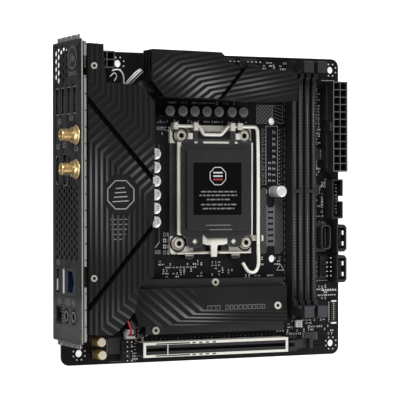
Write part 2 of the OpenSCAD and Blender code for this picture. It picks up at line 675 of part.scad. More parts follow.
module m2_chevrons() for (i = [-3:5]) {
    bend = [67.4, 24.5] + i * [4.75, 1.8];
    band([bend + [-30, 24], bend, bend + [80, -3.2]], [1.9, 0.8]);
}
module m2_cover() color(sink_black) on_board() difference() {
    union() {
        extrude_z(m2_outline, [7.6, m2_cover_top]);
        ridges(m2_outline, m2_cover_top) m2_chevrons();
    }
    // plain field at the front edge end
    extrude_z([[77.2, 30.2], [131, 27.4], [131, 42], [72, 42]],
              [m2_cover_top + 0.02, m2_cover_top + 3.02]);
    post(m2_screw, 2.5, [cover_screw_seat, 14], 24);
    post(m2_screw, 1.5, [7, 14], 20);
}
module m2_pad() color([0.58, 0.60, 0.66]) on_board() box([48, 120], [21.4, 39.4], [6.1, 7.6]);
module cover_screw() color(screw_steel) on_board() difference() {
    union() {
        post(m2_screw, 2.1, [cover_screw_seat, 12.3], 24);
        post(m2_screw, 1.0, [1.6, 10.9], 20);
        // collar under the cover
        post(m2_screw, 1.9, [6.6, 7.55], 20);
    }
    post(m2_screw, 1.0, [11.5, 13], 6);
}

// screw with a hexagonal recess, its head resting at z = seat
module hex_screw(at, seat, head_r, shank) difference() {
    union() {
        post(at, head_r, [seat, seat + 1.3], 24);
        post(at, 1.15, [seat - shank, seat + 0.1], 20);
    }
    post(at, 0.85, [seat + 0.6, seat + 2], 6);
}
module heatsink_screws() color(screw_steel) on_board() {
    for (at = rear_sink_screws) hex_screw(at, rear_screw_seat, head_r = 1.75, shank = 2.6);
    for (at = m2_base_screws) hex_screw(at, m2_base_seat, head_r = 2.15, shank = 6.8);
}

// ---- headers, cables and chips ----
fan_header_x = [92.0, 105.4];

module usb3_header() color([0.05, 0.05, 0.05]) on_board() difference() {
    box([161.2, 168.2], [78.3, 100.8], [0, 9]);
    box([162.0, 167.4], [79.3, 99.9], [1.6, 10]);
    box([167.2, 169], [88.2, 91.2], [2.4, 10]);
}
module usb_c_header() color([0.55, 0.55, 0.56]) on_board() difference() {
    union() {
        rounded_box([154.2, 160.2], [60.9, 74.7], [1.2, 9.2], 2.2, 4);
        box([154.2, 160.7], [59.4, 76.0], [0, 2.4]);
    }
    rounded_box([154.8, 159.6], [61.5, 74.1], [3, 12], 1.7, 4);
}
module sata_ports() color([0.045, 0.045, 0.048]) on_board() for (y = [59.3, 41.7]) {
    box([166.9, 167.7], [y + 2.6, y + 12.8], [1.5, 7.2]);
    difference() {
        extrude_z([[164.4, y], [169.4, y], [170.9, y + 1.6], [170.9, y + 14.0],
                   [169.4, y + 15.6], [164.4, y + 15.6]], [0, 8.6]);
        box([165.4, 169.8], [y + 1.8, y + 13.8], [1.6, 10]);
        for (k = [3.4, 9.6]) box([169.7, 172], [y + k, y + k + 2.4], [3, 6.4]);
    }
}

module pin_header_bases() color([0.05, 0.05, 0.05]) on_board() {
    box([156.7, 161.8], [44.4, 57.1], [0, 2.5]);
    box([34.1, 39.2], [0.9, 13.6], [0, 2.5]);
    box([151.5, 153.6], [44.4, 54.6], [0, 2.5]);
    box([164.4, 167.7], [18.4, 30.3], [0, 1.6]);
}
// square pins in a grid; the pin at index "gap" is left out
module pins(corner, columns, rows, zs, gap = [-1, -1], pitch = 2.54, size = 0.64)
    for (i = [0:columns - 1], j = [0:rows - 1]) if ([i, j] != gap)
        let (x = corner[0] + pitch * i, y = corner[1] + pitch * j)
            box([x, x + size], [y, y + size], zs);
module header_pins() color([0.82, 0.68, 0.36]) on_board() {
    pins([157.65, 45.35], 2, 5, [2.5, 8.6], gap = [0, 4]);
    pins([152.2, 45.35], 1, 4, [2.5, 5.6]);
    pins([35.05, 1.85], 2, 5, [2.5, 7.4], gap = [1, 1]);
    pins([163.4, 81.5], 2, 9, [1.6, 5.4], gap = [0, 8], pitch = 2, size = 0.5);
    for (x = fan_header_x) pins([x + 1.2, 165.9], 4, 1, [3.2, 10.4]);
}
module fan_headers() color([0.06, 0.06, 0.06]) on_board() for (x = fan_header_x) {
    box([x, x + 10.2], [163.4, 168.8], [0, 3.2]);
    box([x + 2.5, x + 9.6], [163.4, 164.4], [3.1, 9.4]);
}

module battery_plug() color([0.88, 0.87, 0.84]) on_board() {
    box([36.0, 41.2], [13.6, 17.6], [0, 4.4]);
    box([36.6, 40.6], [15.0, 18.7], [1.0, 4.0]);
}
module battery_wires() color([0.55, 0.05, 0.05]) on_board() for (offset = [0, 1.9]) {
    bend = [37.7 + offset, 15.6, 8.0];
    wire([bend[0], bend[1], 4.4], bend, 0.6);
    post(bend, 0.75, [7.4, 8.7], 12);
    wire(bend, [31.4 + offset, 25.2, 14.0], 0.6);
}

// x span, y span, height
chip_sizes = [
    [[26.8, 33.8], [6.0, 14.2], 1.1],
    [[147.4, 155.2], [8.6, 13.4], 1.0],
    [[153.2, 157.2], [92.0, 97.6], 1.0],
    [[154.0, 158.0], [112.0, 118.4], 1.0],
    [[66, 82], [24.2, 37.8], 1.1]
];
module chips() color([0.07, 0.07, 0.075]) on_board()
    for (chip = chip_sizes) box(chip[0], chip[1], [0, chip[2]]);

pcb();
io_shield();
shield_tabs();
usb_quad_stack();
lan_usb_stack();
lan_insert();
port_tongues();
display_ports();
audio_stack();
antenna_jacks();
antenna_nuts();
wifi_module();
io_heatsink();
vrm_heatsink();
heatpipe();
thermal_pads();
vrm_chokes();
vrm_mosfets();
caps_black();
caps_silver();
audio_caps();
eps_connector();
atx_connector();
power_pins();
pcie_slot();
pcie_shield();
pcie_latch();
dimm_slots();
dimm_contacts();
dimm_latch_a_top();
dimm_latch_a_bottom();
dimm_latch_b_top();
dimm_latch_b_bottom();
socket_body();
socket_contacts();
ilm_frame();
ilm_screws();
backplate();
backplate_insulator();
load_lever();
load_plate();
socket_cover();
m2_connector();
m2_standoff();
m2_base();
m2_cover();
m2_pad();
cover_screw();
heatsink_screws();
usb3_header();
usb_c_header();
sata_ports();
pin_header_bases();
header_pins();
fan_headers();
battery_plug();
battery_wires();
chips();
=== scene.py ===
import json
import math
import random

import bpy
import bmesh
from mathutils import Matrix, Vector


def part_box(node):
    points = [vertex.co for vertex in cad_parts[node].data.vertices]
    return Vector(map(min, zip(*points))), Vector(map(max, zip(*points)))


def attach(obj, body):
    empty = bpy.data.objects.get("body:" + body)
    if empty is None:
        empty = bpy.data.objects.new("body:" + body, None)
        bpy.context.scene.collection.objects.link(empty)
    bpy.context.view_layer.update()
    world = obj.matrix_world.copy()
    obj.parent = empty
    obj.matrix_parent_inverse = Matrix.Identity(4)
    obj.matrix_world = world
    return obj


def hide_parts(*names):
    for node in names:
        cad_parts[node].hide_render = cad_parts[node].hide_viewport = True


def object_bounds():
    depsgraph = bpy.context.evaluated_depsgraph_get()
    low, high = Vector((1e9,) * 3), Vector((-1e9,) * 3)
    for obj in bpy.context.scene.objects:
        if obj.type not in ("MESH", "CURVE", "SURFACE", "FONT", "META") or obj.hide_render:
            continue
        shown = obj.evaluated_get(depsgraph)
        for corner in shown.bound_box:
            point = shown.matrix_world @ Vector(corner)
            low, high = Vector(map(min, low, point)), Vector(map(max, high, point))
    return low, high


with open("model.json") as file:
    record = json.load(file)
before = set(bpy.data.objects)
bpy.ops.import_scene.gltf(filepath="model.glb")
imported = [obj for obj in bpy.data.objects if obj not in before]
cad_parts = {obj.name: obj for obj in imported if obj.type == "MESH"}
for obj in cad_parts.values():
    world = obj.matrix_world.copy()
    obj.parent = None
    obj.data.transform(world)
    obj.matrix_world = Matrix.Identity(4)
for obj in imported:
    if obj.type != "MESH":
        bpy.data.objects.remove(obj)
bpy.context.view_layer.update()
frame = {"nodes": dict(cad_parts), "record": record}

NODES = frame["nodes"]
RECORD = frame["record"]
CX, CY = 88.2, 94.67          # cooler square centre, in board millimetres
rnd = random.Random(7)


# ------------------------------------------------------------------ helpers
def P(x, y, z):
    """board millimetres to row metres"""
    return Vector(((x - CX) / 1000.0, (y - CY) / 1000.0, z / 1000.0))


class MB:
    """collects shapes, in board millimetres, into one mesh"""

    def __init__(self, name, mats):
        self.name, self.mats = name, mats
        self.v, self.f, self.m, self.s = [], [], [], []

    def add(self, verts, faces, mat=0, smooth=False):
        b = len(self.v)
        self.v += [tuple(p) for p in verts]
        for f in faces:
            self.f.append([b + i for i in f])
            self.m.append(mat)
            self.s.append(smooth)

    def box(self, x0, x1, y0, y1, z0, z1, mat=0, c=0.0, skip_bottom=False):
        """block; c chamfers its upper edges"""
        if c > 0:
            rings = [(x0, x1, y0, y1, z0), (x0, x1, y0, y1, z1 - c), (x0 + c, x1 - c, y0 + c, y1 - c, z1)]
        else:
            rings = [(x0, x1, y0, y1, z0), (x0, x1, y0, y1, z1)]
        v = []
        for a, b, d, e, z in rings:
            v += [(a, d, z), (b, d, z), (b, e, z), (a, e, z)]
        f = [] if skip_bottom else [(3, 2, 1, 0)]
        for k in range(len(rings) - 1):
            for i in range(4):
                j = (i + 1) % 4
                f.append((4 * k + i, 4 * k + j, 4 * k + 4 + j, 4 * k + 4 + i))
        n = 4 * (len(rings) - 1)
        f.append((n, n + 1, n + 2, n + 3))
        self.add(v, f, mat)

    def rbox(self, cx, cy, w, h, ang, z0, z1, mat=0, c=0.0):
        """block turned about Z"""
        b = len(self.v)
        self.box(-w / 2, w / 2, -h / 2, h / 2, z0, z1, mat, c)
        ca, sa = math.cos(ang), math.sin(ang)
        for i in range(b, len(self.v)):
            x, y, z = self.v[i]
            self.v[i] = (cx + x * ca - y * sa, cy + x * sa + y * ca, z)

    def prism(self, poly, z0, z1, mat=0, c=0.0):
        n = len(poly)
        cx = sum(p[0] for p in poly) / n
        cy = sum(p[1] for p in poly) / n
        v = [(x, y, z0) for x, y in poly] + [(x, y, z1 - c) for x, y in poly]
        f = [tuple(range(n - 1, -1, -1))]
        for i in range(n):
            j = (i + 1) % n
            f.append((i, j, n + j, n + i))
        if c > 0:
            for x, y in poly:
                d = math.hypot(x - cx, y - cy) or 1
                v.append((x - (x - cx) / d * c, y - (y - cy) / d * c, z1))
            for i in range(n):
                j = (i + 1) % n
                f.append((n + i, n + j, 2 * n + j, 2 * n + i))
            f.append(tuple(range(2 * n, 3 * n)))
        else:
            f.append(tuple(range(n, 2 * n)))
        self.add(v, f, mat)

    def lathe(self, origin, prof, axis="z", n=32, mat=0, mats=None, smooth=True, ring=False):
        """profile of (radius, height) turned about an axis through origin"""
        ox, oy, oz = origin
        v, f = [], []
        for r, h in prof:
            for k in range(n):
                a = 2 * math.pi * k / n
                p, q = r * math.cos(a), r * math.sin(a)
                if axis == "z":
                    v.append((ox + p, oy + q, oz + h))
                elif axis == "x":
                    v.append((ox + h, oy + p, oz + q))
                else:
                    v.append((ox + q, oy + h, oz + p))
        b = len(self.v)
        self.v += v
        for i in range(len(prof) - 1):
            for k in range(n):
                j = (k + 1) % n
                self.f.append([b + i * n + k, b + i * n + j, b + (i + 1) * n + j, b + (i + 1) * n + k])
                self.m.append(mats[i] if mats else mat)
                self.s.append(smooth)
        e = b + (len(prof) - 1) * n
        if ring:
            # closed section, no end discs
            for k in range(n):
                j = (k + 1) % n
                self.f.append([e + k, e + j, b + j, b + k])
                self.m.append(mat)
                self.s.append(smooth)
            return
        self.f.append([b + n - 1 - k for k in range(n)])
        self.m.append(mats[0] if mats else mat)
        self.s.append(False)
        self.f.append([e + k for k in range(n)])
        self.m.append(mats[-1] if mats else mat)
        self.s.append(False)

    def cyl(self, x, y, r, z0, z1, n=24, mat=0, c=0.0):
        prof = [(r, z0), (r, z1 - c), (r - c, z1)] if c > 0 else [(r, z0), (r, z1)]
        self.lathe((x, y, 0), prof, "z", n, mat)

    def tube(self, pts, r, n=10, mat=0, sub=8):
        """smooth wire through points (Catmull-Rom)"""
        pts = [Vector(p) for p in pts]
        path = []
        ext = [pts[0] * 2 - pts[1]] + pts + [pts[-1] * 2 - pts[-2]]
        for i in range(1, len(ext) - 2):
            p0, p1, p2, p3 = ext[i - 1:i + 3]
            for s in range(sub):
                t = s / sub
                path.append(0.5 * ((2 * p1) + (p2 - p0) * t + (2 * p0 - 5 * p1 + 4 * p2 - p3) * t * t + (3 * p1 - p0 - 3 * p2 + p3) * t ** 3))
        path.append(pts[-1])
        self.sweep(path, r, n, mat)

    def sweep(self, path, r, n=10, mat=0):
        up = Vector((0, 0, 1))
        t = (path[1] - path[0]).normalized()
        if abs(t.dot(up)) > 0.9:
            up = Vector((1, 0, 0))
        u = (up - t * up.dot(t)).normalized()
        v = []
        for i, p in enumerate(path):
            a = path[max(i - 1, 0)]
            b = path[min(i + 1, len(path) - 1)]
            t = (b - a).normalized()
            u = (u - t * u.dot(t)).normalized()
            w = t.cross(u)
            for k in range(n):
                an = 2 * math.pi * k / n
                v.append(p + u * (r * math.cos(an)) + w * (r * math.sin(an)))
        f = []
        for i in range(len(path) - 1):
            for k in range(n):
                j = (k + 1) % n
                f.append((i * n + k, i * n + j, (i + 1) * n + j, (i + 1) * n + k))
        self.add(v, f, mat, True)
        e = (len(path) - 1) * n
        b = len(self.v) - len(v)
        self.f.append([b + n - 1 - k for k in range(n)])
        self.m.append(mat)
        self.s.append(False)
        self.f.append([b + e + k for k in range(n)])
        self.m.append(mat)
        self.s.append(False)

    def line(self, a, b, w, z0, z1, mat=0):
        """flat bar from a to b"""
        dx, dy = b[0] - a[0], b[1] - a[1]
        L = math.hypot(dx, dy) or 1
        nx, ny = -dy / L * w / 2, dx / L * w / 2
        self.prism([(a[0] + nx, a[1] + ny), (a[0] - nx, a[1] - ny), (b[0] - nx, b[1] - ny), (b[0] + nx, b[1] + ny)], z0, z1, mat)

    def frame(self, x0, x1, y0, y1, w, z0, z1, mat=0):
        self.box(x0, x1, y0, y0 + w, z0, z1, mat)
        self.box(x0, x1, y1 - w, y1, z0, z1, mat)
        self.box(x0, x0 + w, y0 + w, y1 - w, z0, z1, mat)
        self.box(x1 - w, x1, y0 + w, y1 - w, z0, z1, mat)

    def done(self, body, bevel=0.0, replaces=None, segs=2, angle=35):
        me = bpy.data.meshes.new(self.name)
        me.from_pydata([P(*p) for p in self.v], [], self.f)
        for m in self.mats:
            me.materials.append(m)
        me.polygons.foreach_set("material_index", self.m)
        me.polygons.foreach_set("use_smooth", self.s)
        me.update()
        bm = bmesh.new()
        bm.from_mesh(me)
        bmesh.ops.recalc_face_normals(bm, faces=bm.faces)
        bm.to_mesh(me)
        bm.free()
        o = bpy.data.objects.new(self.name, me)
        bpy.context.scene.collection.objects.link(o)
        if any(self.s):
            me.set_sharp_from_angle(angle=math.radians(40))
        if bevel:
            b = o.modifiers.new("edge", "BEVEL")
            b.width, b.segments, b.limit_method = bevel / 1000.0, segs, "ANGLE"
            b.angle_limit = math.radians(angle)
            b.harden_normals = False
        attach(o, body)
        if replaces:
            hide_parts(*replaces)
        return o


def rr(x0, x1, y0, y1, r, n=6):
    out = []
    for cx, cy, a0 in ((x1 - r, y1 - r, 0), (x0 + r, y1 - r, 90), (x0 + r, y0 + r, 180), (x1 - r, y0 + r, 270)):
        for i in range(n + 1):
            a = math.radians(a0 + 90 * i / n)
            out.append((cx + r * math.cos(a), cy + r * math.sin(a)))
    return out


# ------------------------------------------------------------------ materials
def nodes_of(name):
    m = bpy.data.materials.new(name)
    m.use_nodes = True
    nt = m.node_tree
    nt.nodes.clear()
    out = nt.nodes.new("ShaderNodeOutputMaterial")
    b = nt.nodes.new("ShaderNodeBsdfPrincipled")
    nt.links.new(b.outputs["BSDF"], out.inputs["Surface"])
    return m, nt, b


def N(nt, kind, **kw):
    n = nt.nodes.new(kind)
    for k, v in kw.items():
        if k in n.inputs:
            n.inputs[k].default_value = v
        else:
            setattr(n, k, v)
    return n


def rgba(c):
    return (c[0], c[1], c[2], 1.0)


def mixc(nt, fac, a, b):
    n = nt.nodes.new("ShaderNodeMix")
    n.data_type = "RGBA"
    for s, v in ((0, fac), (6, a), (7, b)):
        if isinstance(v, bpy.types.NodeSocket):
            nt.links.new(v, n.inputs[s])
        else:
            n.inputs[s].default_value = v
    return n.outputs[2]


def maprange(nt, v, a, b, c, d):
    n = nt.nodes.new("ShaderNodeMapRange")
    nt.links.new(v, n.inputs[0])
    for i, x in enumerate((a, b, c, d)):
        n.inputs[i + 1].default_value = x
    return n.outputs[0]


def math2(nt, op, a, b=None):
    n = nt.nodes.new("ShaderNodeMath")
    n.operation = op
    for i, v in enumerate((a, b)):
        if v is None:
            continue
        if isinstance(v, bpy.types.NodeSocket):
            nt.links.new(v, n.inputs[i])
        else:
            n.inputs[i].default_value = v
    return n.outputs[0]


def edge_highlight_mask(nt, radius, lo=0.02, hi=0.25):
    """painted highlight mask: bright along convex and concave edges"""
    bev = N(nt, "ShaderNodeBevel", Radius=radius / 1000.0)
    bev.samples = 4
    geo = nt.nodes.new("ShaderNodeNewGeometry")
    dot = nt.nodes.new("ShaderNodeVectorMath")
    dot.operation = "DOT_PRODUCT"
    nt.links.new(bev.outputs[0], dot.inputs[0])
    nt.links.new(geo.outputs["Normal"], dot.inputs[1])
    inv = math2(nt, "SUBTRACT", 1.0, dot.outputs["Value"])
    return maprange(nt, inv, lo, hi, 0.0, 1.0)


def pbr(name, col, rough=0.5, metal=0.0, var=0.12, scale=60.0, fine=900.0, bump=0.15, rvar=0.12,
        coat=0.0, edge=0.0, edge_highlight_col=None, stretch=None, spec=0.5, dist=0.02):
    """surface with broad colour drift, fine grain, roughness drift and painted highlights along edges"""
    m, nt, b = nodes_of(name)
    tc = nt.nodes.new("ShaderNodeTexCoord")
    mp = nt.nodes.new("ShaderNodeMapping")
    nt.links.new(tc.outputs["Object"], mp.inputs[0])
    if stretch:
        mp.inputs["Scale"].default_value = stretch
    n1 = N(nt, "ShaderNodeTexNoise", Scale=scale, Detail=4.0, Roughness=0.6)
    n2 = N(nt, "ShaderNodeTexNoise", Scale=fine, Detail=3.0, Roughness=0.65)
    nt.links.new(tc.outputs["Object"], n1.inputs["Vector"])
    nt.links.new(mp.outputs[0], n2.inputs["Vector"])
    f = maprange(nt, n1.outputs["Fac"], 0.3, 0.7, 0.0, 1.0)
    base = mixc(nt, f, rgba([c * (1 - var) for c in col]), rgba([min(1, c * (1 + var)) for c in col]))
    g = maprange(nt, n2.outputs["Fac"], 0.35, 0.65, 0.0, 0.35)
    base = mixc(nt, g, base, rgba([min(1, c * 1.25 + 0.004) for c in col]))
    rr_ = maprange(nt, n1.outputs["Fac"], 0.3, 0.7, max(0.02, rough - rvar / 2), min(1.0, rough + rvar / 2))
    # painted highlight: edges are lightened towards the edge colour
    if edge > 0:
        em = math2(nt, "MULTIPLY", edge_highlight_mask(nt, 0.35), maprange(nt, n2.outputs["Fac"], 0.3, 0.7, edge * 0.6, edge))
        base = mixc(nt, em, base, rgba(edge_highlight_col or [min(1, c * 2.2 + 0.03) for c in col]))
        rr_ = math2(nt, "SUBTRACT", rr_, math2(nt, "MULTIPLY", em, 0.12))
    nt.links.new(base, b.inputs["Base Color"])
    nt.links.new(rr_, b.inputs["Roughness"])
    b.inputs["Metallic"].default_value = metal
    b.inputs["Specular IOR Level"].default_value = spec
    b.inputs["Coat Weight"].default_value = coat
    b.inputs["Coat Roughness"].default_value = 0.12
    bp = N(nt, "ShaderNodeBump", Strength=bump, Distance=dist / 1000.0)
    nt.links.new(n2.outputs["Fac"], bp.inputs["Height"])
    nt.links.new(bp.outputs[0], b.inputs["Normal"])
    return m


M = {}
# the edge values below set painted highlights along edges, in the edge colour given
M["hs"] = pbr("heatsink_satin", [0.013, 0.013, 0.0145], rough=0.42, metal=0.25, var=0.10, scale=25, fine=2600, bump=0.35, edge=0.45, edge_highlight_col=[0.08, 0.08, 0.084], dist=0.03)
M["plastic"] = pbr("plastic_black", [0.009, 0.009, 0.0095], rough=0.48, fine=1800, bump=0.25, edge=0.35, edge_highlight_col=[0.05, 0.05, 0.052])
M["plastic2"] = pbr("plastic_socket", [0.012, 0.012, 0.013], rough=0.36, fine=2200, bump=0.2, edge=0.35, edge_highlight_col=[0.06, 0.06, 0.064])
M["latch"] = pbr("plastic_slate", [0.060, 0.064, 0.074], rough=0.45, fine=1500, bump=0.25, edge=0.5, edge_highlight_col=[0.22, 0.23, 0.25])
M["white"] = pbr("nylon_white", [1.0, 0.97, 0.93], rough=0.45, var=0.05, fine=1500, bump=0.15)
M["blue"] = pbr("plastic_blue", [0.02, 0.07, 0.36], rough=0.35, fine=1500, bump=0.15, edge=0.3, edge_highlight_col=[0.15, 0.25, 0.7])
M["steel"] = pbr("port_steel", [0.52, 0.52, 0.53], rough=0.33, metal=1.0, var=0.08, scale=40, fine=700, stretch=(1, 1, 14), bump=0.12, edge=0.3, edge_highlight_col=[0.8, 0.8, 0.8])
M["tab"] = pbr("sprung_tab_steel", [0.66, 0.66, 0.65], rough=0.42, metal=0.85, var=0.07, fine=900, bump=0.15)
M["ilm"] = pbr("nickel_steel", [1.0, 0.94, 0.84], rough=0.27, metal=0.22, var=0.06, scale=30, fine=500, stretch=(1, 9, 1), bump=0.12, edge=0.35, edge_highlight_col=[0.95, 0.93, 0.9])
M["screw"] = pbr("screw_nickel", [0.82, 0.77, 0.66], rough=0.3, metal=0.55, var=0.06, scale=200, fine=2500, bump=0.15, edge=0.3, edge_highlight_col=[0.95, 0.95, 0.93])
M["dark_steel"] = pbr("black_nickel", [0.20, 0.20, 0.205], rough=0.35, metal=1.0, var=0.1, fine=700, stretch=(8, 1, 1), bump=0.12, edge=0.4)
M["slot_steel"] = pbr("slot_shield_steel", [0.86, 0.83, 0.76], rough=0.34, metal=0.20, var=0.05, scale=30, fine=600, stretch=(14, 1, 1), bump=0.1, edge=0.3, edge_highlight_col=[1, 1, 0.98])
M["gold"] = pbr("gold_plate", [0.72, 0.55, 0.29], rough=0.26, metal=0.9, var=0.08, scale=80, fine=1500, bump=0.12, edge=0.4, edge_highlight_col=[1.0, 0.85, 0.55])
M["pin"] = pbr("pin_gold", [0.98, 0.92, 0.78], rough=0.3, metal=0.15, var=0.1, scale=300, fine=2500, bump=0.1)
M["tin"] = pbr("tin_solder", [0.80, 0.80, 0.80], rough=0.32, metal=0.25, var=0.1, scale=400, fine=3000, bump=0.35)
M["chip"] = pbr("moulding_resin", [0.028, 0.028, 0.030], rough=0.55, fine=3000, bump=0.3, edge=0.25)
M["choke"] = pbr("pressed_powder", [0.075, 0.076, 0.080], rough=0.6, fine=2600, bump=0.5, var=0.2, edge=0.25)
M["pad"] = pbr("silicone_pad", [0.36, 0.39, 0.47], rough=0.8, fine=1200, bump=0.4, var=0.08)
M["cap_cream"] = pbr("can_top_cream", [0.95, 0.90, 0.74], rough=0.35, metal=0.1, fine=1500, bump=0.1, var=0.04)
M["cap_top"] = pbr("can_top_grey", [0.145, 0.142, 0.134], rough=0.4, metal=0.1, fine=1800, bump=0.2, edge=0.35)
M["cap_black"] = pbr("can_black", [0.020, 0.020, 0.021], rough=0.30, metal=0.5, fine=1800, bump=0.2, edge=0.3, edge_highlight_col=[0.18, 0.18, 0.18])
M["cap_alu"] = pbr("can_aluminium", [0.86, 0.86, 0.85], rough=0.28, metal=0.5, var=0.05, fine=900, bump=0.1, edge=0.3, edge_highlight_col=[0.95, 0.95, 0.95])
M["cap_gold"] = pbr("can_gold_sleeve", [0.74, 0.50, 0.14], rough=0.3, metal=0.8, var=0.06, fine=900, bump=0.1, edge=0.4, edge_highlight_col=[1, 0.85, 0.5])
M["silk"] = pbr("screen_print", [0.60, 0.60, 0.62], rough=0.6, var=0.08, scale=300, fine=4000, bump=0.3)
M["silk_dim"] = pbr("screen_print_dim", [0.20, 0.20, 0.21], rough=0.6, var=0.1, scale=300, fine=4000, bump=0.3)
M["ceramic"] = pbr("ceramic_tan", [0.20, 0.165, 0.12], rough=0.5, var=0.15, scale=500, fine=4000, bump=0.2)
M["resistor"] = pbr("resistor_black", [0.03, 0.03, 0.032], rough=0.4, scale=500, fine=4000, bump=0.2)
M["wire_red"] = pbr("wire_red", [0.50, 0.015, 0.02], rough=0.42, fine=1500, bump=0.15, scale=200)
M["wire_black"] = pbr("wire_black", [0.02, 0.02, 0.02], rough=0.4, fine=1500, bump=0.15)
M["wire_white"] = pbr("wire_pale", [0.80, 0.80, 0.79], rough=0.4, fine=1500, bump=0.1, var=0.04)
# near-black insulator colour, also used for the painted-shade strip at the rear edge
M["film"] = pbr("insulator_black_and_shade", [0.02, 0.02, 0.021], rough=0.5, fine=1500, bump=0.2)
M["paint_pale"] = pbr("label_pale", [0.62, 0.62, 0.63], rough=0.5, fine=2500, bump=0.15, var=0.05)
# near-black label colour, also used for painted shade in screw sockets and rings
M["label_dark"] = pbr("label_black_and_shade", [0.0022, 0.0018, 0.0018], rough=0.6, fine=2000, bump=0.12, spec=0.05)
M["paint_red"] = pbr("label_red", [0.40, 0.03, 0.03], rough=0.5, fine=2500, bump=0.15, var=0.05)
M["emblem"] = pbr("plaque_pale_lines", [0.42, 0.42, 0.43], rough=0.38, metal=0.5, fine=1500, bump=0.15, var=0.06)


def pcb_material():
    """solder mask: near-black lacquer over faint copper tracks"""
    m, nt, b = nodes_of("solder_mask_black")
    tc = nt.nodes.new("ShaderNodeTexCoord")
    br = nt.nodes.new("ShaderNodeTexVoronoi")
    br.feature, br.distance = "F1", "MANHATTAN"
    br.inputs["Scale"].default_value = 260.0
    nt.links.new(tc.outputs["Object"], br.inputs["Vector"])
    v2 = nt.nodes.new("ShaderNodeTexVoronoi")
    v2.feature = "DISTANCE_TO_EDGE"
    v2.inputs["Scale"].default_value = 34.0
    nt.links.new(tc.outputs["Object"], v2.inputs["Vector"])
    wv = N(nt, "ShaderNodeTexWave", Scale=520.0, Distortion=0.0)
    wv.bands_direction = "DIAGONAL"
    nt.links.new(tc.outputs["Object"], wv.inputs["Vector"])
    ns = N(nt, "ShaderNodeTexNoise", Scale=26.0, Detail=2.0)
    nt.links.new(tc.outputs["Object"], ns.inputs["Vector"])
    where = maprange(nt, ns.outputs["Fac"], 0.50, 0.56, 0.0, 1.0)
    tracks = math2(nt, "MULTIPLY", maprange(nt, wv.outputs["Fac"], 0.55, 0.75, 0.0, 1.0), where)
    pour = maprange(nt, v2.outputs["Distance"], 0.0, 0.05, 0.0, 1.0)
    h = math2(nt, "ADD", math2(nt, "MULTIPLY", tracks, 0.5), math2(nt, "MULTIPLY", pour, 0.5))
    via = maprange(nt, br.outputs["Distance"], 0.10, 0.16, 1.0, 0.0)
    fine = N(nt, "ShaderNodeTexNoise", Scale=2600.0, Detail=3.0)
    nt.links.new(tc.outputs["Object"], fine.inputs["Vector"])
    c = mixc(nt, pour, rgba([0.0042, 0.0042, 0.0050]), rgba([0.0062, 0.0062, 0.0074]))
    b.inputs["Specular IOR Level"].default_value = 0.14
    c = mixc(nt, tracks, c, rgba([0.012, 0.012, 0.014]))
    c = mixc(nt, math2(nt, "MULTIPLY", via, 0.4), c, rgba([0.05, 0.048, 0.045]))
    nt.links.new(c, b.inputs["Base Color"])
    nt.links.new(maprange(nt, fine.outputs["Fac"], 0.3, 0.7, 0.40, 0.52), b.inputs["Roughness"])
    bp = N(nt, "ShaderNodeBump", Strength=0.35, Distance=0.00003)
    hh = math2(nt, "ADD", h, math2(nt, "MULTIPLY", fine.outputs["Fac"], 0.25))
    nt.links.new(hh, bp.inputs["Height"])
    nt.links.new(bp.outputs[0], b.inputs["Normal"])
    # laminate colour on the cut edge
    geo = nt.nodes.new("ShaderNodeNewGeometry")
    sep = nt.nodes.new("ShaderNodeSeparateXYZ")
    nt.links.new(geo.outputs["True Normal"], sep.inputs[0])
    side = maprange(nt, math2(nt, "ABSOLUTE", sep.outputs["Z"]), 0.3, 0.6, 1.0, 0.0)
    c2 = mixc(nt, side, c, rgba([0.05, 0.045, 0.035]))
    nt.links.new(c2, b.inputs["Base Color"])
    return m


M["pcb"] = pcb_material()


